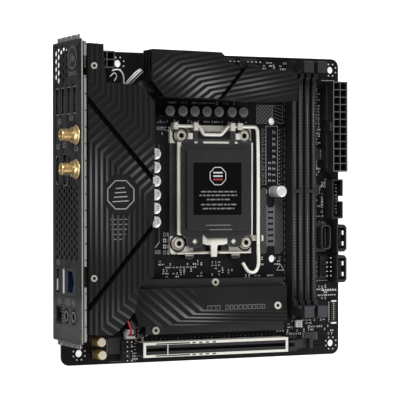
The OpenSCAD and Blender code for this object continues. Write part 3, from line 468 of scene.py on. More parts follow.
def panel_material():
    """painted rear panel with faint printed diagonal lines"""
    m, nt, b = nodes_of("panel_paint")
    tc = nt.nodes.new("ShaderNodeTexCoord")
    sep = nt.nodes.new("ShaderNodeSeparateXYZ")
    nt.links.new(tc.outputs["Object"], sep.inputs[0])
    yy, zz = sep.outputs["Y"], sep.outputs["Z"]
    # diagonal hatch
    d = math2(nt, "MULTIPLY", math2(nt, "ADD", yy, zz), 4200.0)
    hat = maprange(nt, math2(nt, "SINE", d), 0.2, 0.8, 0.0, 1.0)
    # rings round a point low on the panel
    dy = math2(nt, "ADD", yy, 0.0730)
    dz = math2(nt, "SUBTRACT", zz, 0.012)
    rad = math2(nt, "SQRT", math2(nt, "ADD", math2(nt, "MULTIPLY", dy, dy), math2(nt, "MULTIPLY", dz, dz)))
    ring = maprange(nt, math2(nt, "SINE", math2(nt, "MULTIPLY", rad, 3900.0)), 0.1, 0.8, 0.0, 1.0)
    low = maprange(nt, yy, -0.052, -0.060, 0.0, 1.0)
    pat = mixc(nt, low, hat, ring)
    ns = N(nt, "ShaderNodeTexNoise", Scale=2600.0, Detail=3.0, Roughness=0.6)
    nt.links.new(tc.outputs["Object"], ns.inputs["Vector"])
    nb = N(nt, "ShaderNodeTexNoise", Scale=22.0, Detail=2.0)
    nt.links.new(tc.outputs["Object"], nb.inputs["Vector"])
    amt = math2(nt, "MULTIPLY", pat, math2(nt, "MAXIMUM", maprange(nt, nb.outputs["Fac"], 0.35, 0.65, 0.15, 0.7), math2(nt, "MULTIPLY", low, 0.95)))
    # painted light: the face is painted brighter towards the low-y end
    light_falloff = maprange(nt, yy, -0.085, 0.06, 1.0, 0.0)
    c = mixc(nt, light_falloff, rgba([0.0040, 0.0041, 0.0044]), rgba([0.017, 0.017, 0.018]))
    c = mixc(nt, amt, c, mixc(nt, light_falloff, rgba([0.012, 0.012, 0.013]), mixc(nt, low, rgba([0.070, 0.070, 0.072]), rgba([0.17, 0.17, 0.17]))))
    # painted highlight along the panel's edges
    em = edge_highlight_mask(nt, 0.3)
    c = mixc(nt, math2(nt, "MULTIPLY", em, 0.25), c, rgba([0.16, 0.16, 0.16]))
    # bare steel on the flanges behind the face
    xx = sep.outputs["X"]
    fl = maprange(nt, xx, -0.09116, -0.09108, 0.0, 1.0)
    topz = math2(nt, "GREATER_THAN", zz, 0.0398)
    rim = math2(nt, "MULTIPLY", topz, math2(nt, "LESS_THAN", xx, -0.09108))
    c = mixc(nt, rim, c, rgba([0.30, 0.29, 0.27]))
    # painted shade: a near-black band in the gap between the face sheet and the flange
    gap_shade = math2(nt, "MULTIPLY", math2(nt, "GREATER_THAN", xx, -0.09108), math2(nt, "LESS_THAN", xx, -0.09046))
    ph = math2(nt, "FRACT", math2(nt, "MULTIPLY", math2(nt, "ADD", yy, 0.2), 1.0 / 0.0086))
    dim = math2(nt, "MULTIPLY", math2(nt, "LESS_THAN", ph, 0.10), math2(nt, "GREATER_THAN", xx, -0.0900))
    steel = mixc(nt, dim, rgba([0.46, 0.445, 0.42]), rgba([0.10, 0.10, 0.10]))
    steel = mixc(nt, gap_shade, steel, rgba([0.02, 0.02, 0.02]))
    c = mixc(nt, fl, c, steel)
    nt.links.new(c, b.inputs["Base Color"])
    nt.links.new(math2(nt, "MULTIPLY", fl, 0.4), b.inputs["Metallic"])
    b.inputs["Specular IOR Level"].default_value = 0.25
    nt.links.new(maprange(nt, ns.outputs["Fac"], 0.3, 0.7, 0.36, 0.5), b.inputs["Roughness"])
    bp = N(nt, "ShaderNodeBump", Strength=0.3, Distance=0.00002)
    nt.links.new(ns.outputs["Fac"], bp.inputs["Height"])
    nt.links.new(bp.outputs[0], b.inputs["Normal"])
    return m


M["panel"] = panel_material()

SLOT_MAT = {
    "pcb": "pcb", "panel_paint": "panel", "bare_steel": "tab", "port_steel": "steel", "blue_plastic": "blue",
    "black_plastic": "plastic", "gold_plate": "gold", "heatsink_paint": "hs", "pipe_nickel": "dark_steel",
    "thermal_pad": "pad", "choke": "choke", "chip_resin": "chip", "cap_black": "cap_black",
    "cap_silver": "cap_alu", "cap_gold": "cap_gold", "pin_gold": "pin", "slot_steel": "slot_steel",
    "contact_grey": "tin", "latch_slate": "latch", "ilm_steel": "ilm", "dark_steel": "dark_steel",
    "insulator": "film", "cover_plastic": "plastic2", "screw_steel": "screw", "white_plastic": "white",
    "wire_red": "wire_red",
}
BEVEL = {
    "io_heatsink": 0.22, "vrm_heatsink": 0.22, "m2_cover": 0.25, "m2_base": 0.3, "load_plate": 0.22, "ilm_frame": 0.25,
    "socket_cover": 0.25, "pcie_slot": 0.15, "pcie_shield": 0.12, "atx_connector": 0.15, "eps_connector": 0.15,
    "dimm_slots": 0.18, "usb3_header": 0.15, "sata_ports": 0.2, "usb_c_header": 0.12,
    "audio_stack": 0.15, "lan_usb_stack": 0.15, "usb_quad_stack": 0.15, "display_ports": 0.15,
    "pin_header_bases": 0.15, "fan_headers": 0.15, "chips": 0.1, "vrm_chokes": 0.25, "backplate": 0.25,
    "pcie_latch": 0.3, "dimm_latch_a_top": 0.35, "dimm_latch_a_bottom": 0.35, "dimm_latch_b_top": 0.35,
    "dimm_latch_b_bottom": 0.35, "battery_plug": 0.2, "heatsink_screws": 0.12, "cover_screw": 0.12, "ilm_screws": 0.2,
    "wifi_module": 0.3, "m2_connector": 0.15, "socket_body": 0.15, "header_pins": 0.08, "power_pins": 0.12,
    "lan_insert": 0.1, "port_tongues": 0.12, "vrm_mosfets": 0.1, "pcb": 0.1,
}
slot_of = {s["node"]: s["material_slot"] for s in RECORD["subparts"]}
for name, o in NODES.items():
    me = o.data
    me.materials.clear()
    me.materials.append(M[SLOT_MAT[slot_of[name]]])
    for at in ("custom_normal",):
        if at in me.attributes:
            me.attributes.remove(me.attributes[at])
    me.polygons.foreach_set("use_smooth", [True] * len(me.polygons))
    w = o.modifiers.new("weld", "WELD")
    w.merge_threshold = 1e-6
    if name in BEVEL:
        b = o.modifiers.new("edge", "BEVEL")
        b.width, b.segments, b.limit_method = BEVEL[name] / 1000.0, 2, "ANGLE"
        b.angle_limit = math.radians(32)
        b.harden_normals = True
        b.use_clamp_overlap = True
        if name == "m2_base" or name.startswith("dimm_latch"):
            w = o.modifiers.new("tidy", "WELD")
            w.merge_threshold = 2e-6
    me.set_sharp_from_angle(angle=math.radians(32))


# ------------------------------------------------------------------ region-dependent finishes
def zmask_material(name, ztop, highlight_spots, base=0.0080, channel_shade=0.003, ridge_lit=0.017, depth=2.0):
    """painted casting: satin flats, painted shade in the channels, raised-line tops painted lighter as highlight, broad
    soft painted highlights
    """
    m, nt, b = nodes_of(name)
    tc = nt.nodes.new("ShaderNodeTexCoord")
    sep = nt.nodes.new("ShaderNodeSeparateXYZ")
    nt.links.new(tc.outputs["Object"], sep.inputs[0])
    geo = nt.nodes.new("ShaderNodeNewGeometry")
    ns3 = nt.nodes.new("ShaderNodeSeparateXYZ")
    nt.links.new(geo.outputs["Normal"], ns3.inputs[0])
    up = maprange(nt, ns3.outputs["Z"], 0.3, 0.7, 0.0, 1.0)
    n1 = N(nt, "ShaderNodeTexNoise", Scale=30.0, Detail=3.0)
    n2 = N(nt, "ShaderNodeTexNoise", Scale=2600.0, Detail=3.0, Roughness=0.65)
    for n in (n1, n2):
        nt.links.new(tc.outputs["Object"], n.inputs["Vector"])
    zt = ztop / 1000.0
    low = maprange(nt, sep.outputs["Z"], zt - depth * 0.0009, zt - 0.0001, 1.0, 0.0)
    high = maprange(nt, sep.outputs["Z"], zt + 0.0001, zt + 0.0004, 0.0, 1.0)
    # painted highlights: soft spots on the raised-line tops where the lamps reflect
    painted_highlight = None
    for (bx_, by_, rx, ry, amp) in highlight_spots:
        dx = math2(nt, "MULTIPLY", math2(nt, "ADD", sep.outputs["X"], (CX - bx_) / 1000.0), 1000.0 / rx)
        dy = math2(nt, "MULTIPLY", math2(nt, "ADD", sep.outputs["Y"], (CY - by_) / 1000.0), 1000.0 / ry)
        g = math2(nt, "EXPONENT", math2(nt, "MULTIPLY", math2(nt, "ADD", math2(nt, "MULTIPLY", dx, dx), math2(nt, "MULTIPLY", dy, dy)), -1.0))
        g = math2(nt, "MULTIPLY", g, amp)
        painted_highlight = g if painted_highlight is None else math2(nt, "ADD", painted_highlight, g)
    g1 = [base] * 3
    flat = mixc(nt, maprange(nt, n1.outputs["Fac"], 0.3, 0.7, 0.0, 1.0), rgba([base * 0.88, base * 0.88, base * 0.90]), rgba([base * 1.12, base * 1.12, base * 1.16]))
    flat = mixc(nt, maprange(nt, n2.outputs["Fac"], 0.4, 0.65, 0.0, 0.3), flat, rgba([base * 1.7] * 3))
    if painted_highlight is not None:
        rc = mixc(nt, painted_highlight, rgba([ridge_lit, ridge_lit, ridge_lit * 1.03]), rgba([0.30, 0.30, 0.31]))
    else:
        rc = rgba([ridge_lit, ridge_lit, ridge_lit * 1.03])
    # raised-line tops painted lighter as highlight
    c = mixc(nt, math2(nt, "MULTIPLY", high, up), flat, rc)
    dark = math2(nt, "MULTIPLY", low, up)
    # painted shade in the channels below the raised lines
    c = mixc(nt, dark, c, rgba([channel_shade] * 3))
    # painted highlight along edges, kept out of the channels
    em = math2(nt, "MULTIPLY", edge_highlight_mask(nt, 0.25), 0.22)
    em = math2(nt, "MULTIPLY", em, math2(nt, "SUBTRACT", 1.0, dark))
    c = mixc(nt, em, c, rgba([0.07, 0.07, 0.073]))
    nt.links.new(c, b.inputs["Base Color"])
    nt.links.new(maprange(nt, n1.outputs["Fac"], 0.3, 0.7, 0.40, 0.50), b.inputs["Roughness"])
    b.inputs["Metallic"].default_value = 0.25
    nt.links.new(mixc(nt, dark, rgba([0.28] * 3), rgba([0.05] * 3)), b.inputs["Specular IOR Level"])
    bp = N(nt, "ShaderNodeBump", Strength=0.35, Distance=0.00003)
    nt.links.new(n2.outputs["Fac"], bp.inputs["Height"])
    nt.links.new(bp.outputs[0], b.inputs["Normal"])
    return m


def put(node, mat):
    me = NODES[node].data
    me.materials.clear()
    me.materials.append(mat)


# painted highlight spots on each casting: (x, y, reach in x, reach in y, strength)
put("io_heatsink", zmask_material("heatsink_rear", 36.0, ridge_lit=0.0115, highlight_spots=[(6, 98, 6, 16, 0.55), (13, 74, 12, 12, 0.22), (20, 26, 16, 10, 0.22), (34, 104, 12, 10, 0.30)]))
put("vrm_heatsink", zmask_material("heatsink_top", 28.0, ridge_lit=0.0110, highlight_spots=[(73, 149, 10, 7, 0.75), (100, 152, 14, 5, 0.35), (60, 158, 14, 5, 0.3)]))
put("m2_cover", zmask_material("drive_cover", 12.0, ridge_lit=0.014, highlight_spots=[(74, 25.5, 15, 5.0, 0.6), (57, 30, 10, 8, 0.15)]))


def masked_steel(name, highlight_boxes, dark=(0.055, 0.056, 0.060), bright=(1.0, 0.95, 0.86)):
    """steel painted dark as shade, with painted highlights in listed boxes and along edges and painted contact shadow;
    boxes are in metres-frame millimetres
    """
    m, nt, b = nodes_of(name)
    tc = nt.nodes.new("ShaderNodeTexCoord")
    sep = nt.nodes.new("ShaderNodeSeparateXYZ")
    nt.links.new(tc.outputs["Object"], sep.inputs[0])
    n1 = N(nt, "ShaderNodeTexNoise", Scale=60.0, Detail=3.0)
    n2 = N(nt, "ShaderNodeTexNoise", Scale=900.0, Detail=4.0, Roughness=0.65)
    mp = nt.nodes.new("ShaderNodeMapping")
    mp.inputs["Scale"].default_value = (1, 7, 1)
    nt.links.new(tc.outputs["Object"], mp.inputs[0])
    nt.links.new(tc.outputs["Object"], n1.inputs["Vector"])
    nt.links.new(mp.outputs[0], n2.inputs["Vector"])
    tot = None
    for (x0, x1, y0, y1, z0, z1) in highlight_boxes:
        f = None
        for ax, a, c in (("X", x0, x1), ("Y", y0, y1), ("Z", z0, z1)):
            if a is None:
                continue
            v = sep.outputs[ax]
            g = math2(nt, "MULTIPLY", math2(nt, "GREATER_THAN", v, a / 1000.0), math2(nt, "LESS_THAN", v, c / 1000.0))
            f = g if f is None else math2(nt, "MULTIPLY", f, g)
        tot = f if tot is None else math2(nt, "MAXIMUM", tot, f)
    # painted highlight along edges, joined with the boxes
    em = math2(nt, "MULTIPLY", edge_highlight_mask(nt, 0.3), 0.75)
    if tot is None:
        tot = em
    else:
        tot = math2(nt, "MAXIMUM", tot, em)
    br = mixc(nt, maprange(nt, n1.outputs["Fac"], 0.35, 0.65, 0.0, 1.0), rgba([c * 0.72 for c in bright]), rgba(bright))
    # painted shade: the dark colour covers the steel outside the highlights
    dk = mixc(nt, maprange(nt, n1.outputs["Fac"], 0.35, 0.65, 0.0, 1.0), rgba([c * 0.85 for c in dark]), rgba([c * 1.2 for c in dark]))
    # painted contact shadow: AO darkens the highlights in crevices
    ao = nt.nodes.new("ShaderNodeAmbientOcclusion")
    ao.samples = 6
    ao.inputs["Distance"].default_value = 0.003
    shade = maprange(nt, ao.outputs["AO"], 0.45, 0.92, 0.0, 1.0)
    lit = mixc(nt, shade, rgba([0.16, 0.145, 0.12]), br)
    nt.links.new(mixc(nt, tot, dk, lit), b.inputs["Base Color"])
    nt.links.new(mixc(nt, tot, rgba([0.6] * 3), rgba([0.18] * 3)), b.inputs["Metallic"])
    nt.links.new(maprange(nt, n2.outputs["Fac"], 0.3, 0.7, 0.24, 0.40), b.inputs["Roughness"])
    bp = N(nt, "ShaderNodeBump", Strength=0.15, Distance=0.00002)
    nt.links.new(n2.outputs["Fac"], bp.inputs["Height"])
    nt.links.new(bp.outputs[0], b.inputs["Normal"])
    return m


# listed boxes where painted highlights go on the dark-painted steel
put("ilm_frame", masked_steel("frame_nickel", [
    (-26, -13, 26, 40, None, None), (13.0, 26, 26, 40, None, None), (-26, 26, 32.6, 40, None, None),
    (-26, -18.0, -36, -25.4, None, None), (15.5, 26, -36, -25.0, None, None), (-26, 26, -36.5, -34.0, None, None),
    (-18.0, -11.5, -36, -31.0, None, None), (10.5, 18, -36, -31.0, None, None), (25.9, 31, -30, -24, None, None)]))
put("load_plate", masked_steel("plate_nickel", [
    (-23, -20.2, -25.4, 26.5, None, None), (22.9, 25, -26.5, 26.5, None, None), (-7.2, 7.8, -30.4, -23.5, 5.9, 7.0),
    (-2.4, 2.2, -38, -29.0, None, None), (-16.8, -13.2, 28.2, 33, None, None), (13.2, 17.0, 28.2, 33, None, None)], dark=(0.050, 0.051, 0.055)))


def port_material():
    """plated shells, bright only at the mouth, painted near black inside as shade"""
    m, nt, b = nodes_of("port_shell_steel")
    tc = nt.nodes.new("ShaderNodeTexCoord")
    sep = nt.nodes.new("ShaderNodeSeparateXYZ")
    nt.links.new(tc.outputs["Object"], sep.inputs[0])
    n2 = N(nt, "ShaderNodeTexNoise", Scale=900.0, Detail=3.0)
    mp = nt.nodes.new("ShaderNodeMapping")
    mp.inputs["Scale"].default_value = (1, 1, 12)
    nt.links.new(tc.outputs["Object"], mp.inputs[0])
    nt.links.new(mp.outputs[0], n2.inputs["Vector"])
    geo = nt.nodes.new("ShaderNodeNewGeometry")
    sn = nt.nodes.new("ShaderNodeSeparateXYZ")
    nt.links.new(geo.outputs["True Normal"], sn.inputs[0])
    mouth = math2(nt, "MULTIPLY", math2(nt, "LESS_THAN", sep.outputs["X"], (-2.9 - CX) / 1000.0), math2(nt, "LESS_THAN", sn.outputs["X"], -0.5))
    near = math2(nt, "LESS_THAN", sep.outputs["X"], (-2.4 - CX) / 1000.0)
    behind = math2(nt, "GREATER_THAN", sep.outputs["X"], (-2.35 - CX) / 1000.0)
    col = mixc(nt, maprange(nt, n2.outputs["Fac"], 0.3, 0.7, 0.0, 1.0), rgba([0.16, 0.16, 0.163]), rgba([0.26, 0.26, 0.263]))
    # painted shade: inside the openings the shell is painted near black
    inside_shade = mixc(nt, mouth, rgba([0.006, 0.006, 0.006]), rgba([0.22, 0.22, 0.22]))
    back = mixc(nt, behind, inside_shade, col)
    # painted shade: surfaces deep in the openings are painted near black where AO finds them facing the opening's own
    # walls
    ao = nt.nodes.new("ShaderNodeAmbientOcclusion")
    ao.samples = 4
    ao.inputs["Distance"].default_value = 0.006
    deep = maprange(nt, ao.outputs["AO"], 0.25, 0.6, 0.0, 1.0)
    nt.links.new(mixc(nt, deep, rgba([0.004, 0.004, 0.004]), back), b.inputs["Base Color"])
    nt.links.new(mixc(nt, deep, rgba([0.0] * 3), rgba([0.7] * 3)), b.inputs["Metallic"])
    nt.links.new(mixc(nt, deep, rgba([0.05] * 3), rgba([0.4] * 3)), b.inputs["Specular IOR Level"])
    nt.links.new(maprange(nt, n2.outputs["Fac"], 0.3, 0.7, 0.28, 0.42), b.inputs["Roughness"])
    bp = N(nt, "ShaderNodeBump", Strength=0.12, Distance=0.00002)
    nt.links.new(n2.outputs["Fac"], bp.inputs["Height"])
    nt.links.new(bp.outputs[0], b.inputs["Normal"])
    return m


PORT = port_material()
for n in ("usb_quad_stack", "lan_usb_stack", "display_ports"):
    put(n, PORT)
# painted highlight: a strong light edge colour along the dark shell's edges
M["header_shell"] = pbr("header_shell_dark", [0.05, 0.05, 0.052], rough=0.35, metal=0.6, fine=1500, bump=0.15, edge=0.9, edge_highlight_col=[0.34, 0.34, 0.34])
put("usb_c_header", M["header_shell"])


def contact_material():
    """rows of contacts: light dots in a dark housing"""
    m, nt, b = nodes_of("contact_rows")
    tc = nt.nodes.new("ShaderNodeTexCoord")
    sep = nt.nodes.new("ShaderNodeSeparateXYZ")
    nt.links.new(tc.outputs["Object"], sep.inputs[0])
    wave = math2(nt, "SINE", math2(nt, "MULTIPLY", sep.outputs["Y"], 2 * math.pi / 0.00170))
    on = maprange(nt, wave, -0.1, 0.5, 0.0, 1.0)
    ns = N(nt, "ShaderNodeTexNoise", Scale=1400.0, Detail=2.0)
    nt.links.new(tc.outputs["Object"], ns.inputs["Vector"])
    lite = mixc(nt, ns.outputs["Fac"], rgba([0.085, 0.085, 0.085]), rgba([0.14, 0.14, 0.14]))
    nt.links.new(mixc(nt, on, rgba([0.030, 0.030, 0.031]), lite), b.inputs["Base Color"])
    nt.links.new(math2(nt, "MULTIPLY", on, 0.5), b.inputs["Metallic"])
    b.inputs["Roughness"].default_value = 0.42
    bp = N(nt, "ShaderNodeBump", Strength=0.5, Distance=0.00012)
    nt.links.new(on, bp.inputs["Height"])
    nt.links.new(bp.outputs[0], b.inputs["Normal"])
    return m


put("dimm_contacts", contact_material())


def ribbed(name, dark, light, pitch, axis, rough=0.45):
    """moulded grip lines across one axis, painted as light and dark stripes for their lit and shaded sides"""
    m, nt, b = nodes_of(name)
    tc = nt.nodes.new("ShaderNodeTexCoord")
    sep = nt.nodes.new("ShaderNodeSeparateXYZ")
    nt.links.new(tc.outputs["Object"], sep.inputs[0])
    w = maprange(nt, math2(nt, "SINE", math2(nt, "MULTIPLY", sep.outputs[axis], 2000 * math.pi / pitch)), -0.4, 0.4, 0.0, 1.0)
    ns = N(nt, "ShaderNodeTexNoise", Scale=1500.0, Detail=3.0)
    nt.links.new(tc.outputs["Object"], ns.inputs["Vector"])
    # painted light and shade: ribs as lighter and darker stripes
    c = mixc(nt, math2(nt, "MULTIPLY", w, 0.5), rgba(dark), rgba(light))
    # painted highlight along edges
    em = math2(nt, "MULTIPLY", edge_highlight_mask(nt, 0.3), 0.7)
    c = mixc(nt, em, c, rgba([min(1, x * 3.0) for x in light]))
    gn = nt.nodes.new("ShaderNodeNewGeometry")
    gs = nt.nodes.new("ShaderNodeSeparateXYZ")
    nt.links.new(gn.outputs["True Normal"], gs.inputs[0])
    # painted shade: faces turned towards -X are painted near black
    c = mixc(nt, math2(nt, "MULTIPLY", math2(nt, "LESS_THAN", gs.outputs["X"], -0.5), 0.8), c, rgba([0.006, 0.006, 0.0065]))
    nt.links.new(c, b.inputs["Base Color"])
    nt.links.new(maprange(nt, ns.outputs["Fac"], 0.3, 0.7, rough - 0.08, rough + 0.08), b.inputs["Roughness"])
    bp = N(nt, "ShaderNodeBump", Strength=0.3, Distance=0.00005)
    nt.links.new(math2(nt, "ADD", w, math2(nt, "MULTIPLY", ns.outputs["Fac"], 0.3)), bp.inputs["Height"])
    nt.links.new(bp.outputs[0], b.inputs["Normal"])
    return m


LATCH = ribbed("latch_slate_ribbed", (0.030, 0.032, 0.038), (0.050, 0.053, 0.062), 1.1, "Z")
# painted shade: the top latches get a darker copy of the slate plastic
LATCH_SHADED = ribbed("latch_slate_top", (0.012, 0.0125, 0.014), (0.024, 0.025, 0.028), 1.1, "Z")
for n in ("dimm_latch_a_top", "dimm_latch_a_bottom", "dimm_latch_b_top", "dimm_latch_b_bottom"):
    put(n, LATCH_SHADED if n.endswith("top") else LATCH)
M["tab2"] = ribbed("sprung_tab_ribbed", (0.50, 0.50, 0.50), (0.80, 0.80, 0.79), 1.5, "Z", 0.4)
put("shield_tabs", M["tab2"])
M["audio_plastic"] = pbr("audio_block_black", [0.0035, 0.0035, 0.0037], rough=0.5, fine=1800, bump=0.2, spec=0.2, edge=0.5, edge_highlight_col=[0.14, 0.14, 0.14])
put("audio_stack", M["audio_plastic"])
M["blue_dark"] = pbr("insert_blue_dark", [0.003, 0.0075, 0.028], rough=0.35, fine=1500, bump=0.15, edge=0.45, edge_highlight_col=[0.03, 0.06, 0.22])
put("lan_insert", M["blue_dark"])


def grid_plastic(name, ztop):
    """housing whose cell walls catch light along their tops"""
    m, nt, b = nodes_of(name)
    tc = nt.nodes.new("ShaderNodeTexCoord")
    sep = nt.nodes.new("ShaderNodeSeparateXYZ")
    nt.links.new(tc.outputs["Object"], sep.inputs[0])
    geo = nt.nodes.new("ShaderNodeNewGeometry")
    s3 = nt.nodes.new("ShaderNodeSeparateXYZ")
    nt.links.new(geo.outputs["True Normal"], s3.inputs[0])
    top = math2(nt, "MULTIPLY", math2(nt, "GREATER_THAN", s3.outputs["Z"], 0.6), math2(nt, "GREATER_THAN", sep.outputs["Z"], ztop / 1000.0 - 0.0003))
    ns = N(nt, "ShaderNodeTexNoise", Scale=1500.0, Detail=3.0)
    nt.links.new(tc.outputs["Object"], ns.inputs["Vector"])
    c = mixc(nt, ns.outputs["Fac"], rgba([0.008, 0.008, 0.008]), rgba([0.013, 0.013, 0.013]))
    # painted highlight on the tops of the cell walls
    c = mixc(nt, top, c, rgba([0.085, 0.085, 0.086]))
    # painted highlight along edges
    em = math2(nt, "MULTIPLY", edge_highlight_mask(nt, 0.3), 0.4)
    c = mixc(nt, em, c, rgba([0.10, 0.10, 0.10]))
    nt.links.new(c, b.inputs["Base Color"])
    nt.links.new(maprange(nt, ns.outputs["Fac"], 0.3, 0.7, 0.38, 0.52), b.inputs["Roughness"])
    bp = N(nt, "ShaderNodeBump", Strength=0.25, Distance=0.00002)
    nt.links.new(ns.outputs["Fac"], bp.inputs["Height"])
    nt.links.new(bp.outputs[0], b.inputs["Normal"])
    return m


put("atx_connector", grid_plastic("atx_plastic", 13.0))
put("eps_connector", grid_plastic("eps_plastic", 13.0))
# painted shade: the gold pins deep in the housing get a darkened copy of the gold
M["pin_dark"] = pbr("power_pin_shaded", [0.10, 0.085, 0.05], rough=0.4, metal=0.7, scale=300, fine=2500, bump=0.1)
put("power_pins", M["pin_dark"])
# painted shade: the pipe, seen in the gap under the heatsink, is painted near black
M["pipe"] = pbr("pipe_shaded_black", [0.010, 0.010, 0.011], rough=0.45, metal=0.2, fine=1800, bump=0.2, spec=0.25)
put("heatpipe", M["pipe"])


def facing(name, lit, shade, axis="Z", thr=0.6, metal=0.2, rough=0.35):
    """painted light: lit colour where the surface faces along an axis, painted shade elsewhere"""
    m, nt, b = nodes_of(name)
    gn = nt.nodes.new("ShaderNodeNewGeometry")
    gs = nt.nodes.new("ShaderNodeSeparateXYZ")
    nt.links.new(gn.outputs["True Normal"], gs.inputs[0])
    tc = nt.nodes.new("ShaderNodeTexCoord")
    ns = N(nt, "ShaderNodeTexNoise", Scale=900.0, Detail=3.0)
    nt.links.new(tc.outputs["Object"], ns.inputs["Vector"])
    v = gs.outputs[axis]
    f = math2(nt, "GREATER_THAN", v, thr)
    a = mixc(nt, ns.outputs["Fac"], rgba([c * 0.85 for c in lit]), rgba([min(1, c * 1.1) for c in lit]))
    d = mixc(nt, ns.outputs["Fac"], rgba([c * 0.8 for c in shade]), rgba([c * 1.2 for c in shade]))
    nt.links.new(mixc(nt, f, d, a), b.inputs["Base Color"])
    b.inputs["Metallic"].default_value = metal
    nt.links.new(maprange(nt, ns.outputs["Fac"], 0.3, 0.7, rough - 0.07, rough + 0.07), b.inputs["Roughness"])
    bp = N(nt, "ShaderNodeBump", Strength=0.15, Distance=0.00002)
    nt.links.new(ns.outputs["Fac"], bp.inputs["Height"])
    nt.links.new(bp.outputs[0], b.inputs["Normal"])
    return m


# painted light: pin tops lit, pin sides and shield faces towards -X in painted shade
put("header_pins", facing("header_pins_tips", [0.95, 0.93, 0.88], [0.035, 0.030, 0.020], thr=0.45))
put("pcie_shield", facing("shield_steel_rims", [0.88, 0.85, 0.78], [0.014, 0.014, 0.014], axis="X", thr=-0.5))
put("ilm_screws", M["screw"])
put("heatsink_screws", pbr("screw_satin", [0.58, 0.55, 0.48], rough=0.34, metal=0.5, var=0.06, scale=200, fine=2500, bump=0.15, edge=0.3, edge_highlight_col=[0.8, 0.8, 0.78]))

# ------------------------------------------------------------------ capacitors
cb = MB("capacitors_black", [M["plastic"], M["cap_black"], M["cap_top"]])
for x in (60.2, 67.9, 75.1, 82.5, 89.9, 97.9, 105.0):
    y = 138.2
    cb.prism([(x - 3.15, y - 3.15), (x + 2.2, y - 3.15), (x + 3.15, y - 2.2), (x + 3.15, y + 2.2), (x + 2.2, y + 3.15), (x - 3.15, y + 3.15)], 0.0, 1.2, 0)
    cb.lathe((x, y, 0), [(2.6, 1.1), (3.1, 1.5), (3.13, 2.2), (2.95, 2.5), (2.95, 2.8), (3.13, 3.1), (3.13, 8.3), (3.0, 8.7), (2.72, 8.82)], "z", 40, mat=1)
    cb.lathe((x, y, 0), [(2.75, 8.7), (2.74, 8.90), (2.62, 8.95)], "z", 40, mat=2)
    for k, w_ in enumerate((1.5, 1.9, 1.2)):
        cb.line((x - w_, y + 1.0 - 1.0 * k), (x + w_, y + 1.0 - 1.0 * k), 0.30, 8.93, 8.985, 1)
cb.done("board", replaces=["caps_black"])
cs = MB("capacitors_bare", [M["plastic"], M["cap_alu"], M["cap_black"], M["dark_steel"]])
for i in range(6):
    x, y, h = 51.7, 77.3 + 7.45 * i, 9.0
    cs.prism([(x - 3.15, y - 3.15), (x + 2.2, y - 3.15), (x + 3.15, y - 2.2), (x + 3.15, y + 2.2), (x + 2.2, y + 3.15), (x - 3.15, y + 3.15)], 0.0, 1.2, 0)
    cs.lathe((x, y, 0), [(2.6, 1.1), (3.1, 1.5), (3.13, 2.2), (2.95, 2.5), (2.95, 2.8), (3.13, 3.1), (3.13, h - 0.7), (3.0, h - 0.25), (2.7, h - 0.09), (2.6, h - 0.05)], "z", 40, mat=1)
    for k in range(3):
        cs.line((x + 0.5, y + 1.2 - 1.1 * k), (x + 1.9, y + 1.2 - 1.1 * k), 0.35, h - 0.06, h - 0.01, 3)
x, y, h = 127.4, 93.9, 12.0
cs.prism([(x - 3.15, y - 3.15), (x + 2.2, y - 3.15), (x + 3.15, y - 2.2), (x + 3.15, y + 2.2), (x + 2.2, y + 3.15), (x - 3.15, y + 3.15)], 0.0, 1.2, 0)
cs.lathe((x, y, 0), [(2.6, 1.1), (3.1, 1.5), (3.13, 2.2), (2.95, 2.5), (2.95, 2.8), (3.13, 3.1), (3.13, h - 0.6)], "z", 48, mat=1)
cs.lathe((x, y, 0), [(3.13, h - 0.6), (3.05, h - 0.2), (2.8, h - 0.04), (2.6, h)], "z", 48, mat=1)
for k in range(3):
    a = 0.6 + k * 2.0944
    cs.line((x, y), (x + 1.9 * math.cos(a), y + 1.9 * math.sin(a)), 0.2, h - 0.03, h + 0.015, 1)
cs.done("board", replaces=["caps_silver"])
ca = MB("capacitors_audio", [M["cap_gold"], M["cap_alu"], M["plastic"], M["cap_cream"]])
for x, y in ((19.6, 12.9), (20.1, 5.9)):
    ca.box(x - 2.6, x + 2.6, y - 2.6, y + 2.6, 0.0, 1.2, 2, 0.2)
    ca.lathe((x, y, 0), [(2.1, 1.1), (2.5, 1.4), (2.6, 1.8), (2.45, 2.2), (2.6, 2.6), (2.6, 8.9), (2.45, 9.25), (2.2, 9.4)], "z", 40, mat=0)
    ca.lathe((x, y, 0), [(2.2, 9.3), (2.15, 9.42)], "z", 40, mat=3)
ca.done("board", replaces=["audio_caps"])

# ------------------------------------------------------------------ antenna jacks with turned threads
aj = MB("antenna_threads", [M["gold"], M["plastic"], M["pin"]])
for y in (123.4, 105.7):
    prof = [(3.02, -2.4), (3.02, -6.15)]
    x = -6.25
    while x > -11.5:
        prof += [(3.17, x), (3.17, x - 0.18), (2.86, x - 0.36), (2.86, x - 0.52)]
        x -= 0.70
    prof += [(3.1, -11.75), (3.1, -12.1), (2.85, -12.4), (2.35, -12.4), (2.3, -12.2), (2.3, -7.6), (1.2, -7.6)]
    aj.lathe((0, y, 33), prof, "x", 40, mat=0)
    aj.lathe((0, y, 33), [(1.2, -7.7), (1.2, -9.6), (0.5, -9.6), (0.45, -7.4)], "x", 20, mat=2)
    hexp = [(y + 4.6 * math.cos(math.radians(60 * k)), 33 + 4.6 * math.sin(math.radians(60 * k))) for k in range(6)]
    v = [(-2.9, a, b_) for a, b_ in hexp] + [(-1.0, a, b_) for a, b_ in hexp]
    aj.add(v, [(5, 4, 3, 2, 1, 0), (6, 7, 8, 9, 10, 11)] + [(k, (k + 1) % 6, 6 + (k + 1) % 6, 6 + k) for k in range(6)], 0)
aj.done("board", replaces=["antenna_jacks"])

# ------------------------------------------------------------------ load lever as one bent wire
lv = MB("load_lever_wire", [M["ilm"]])


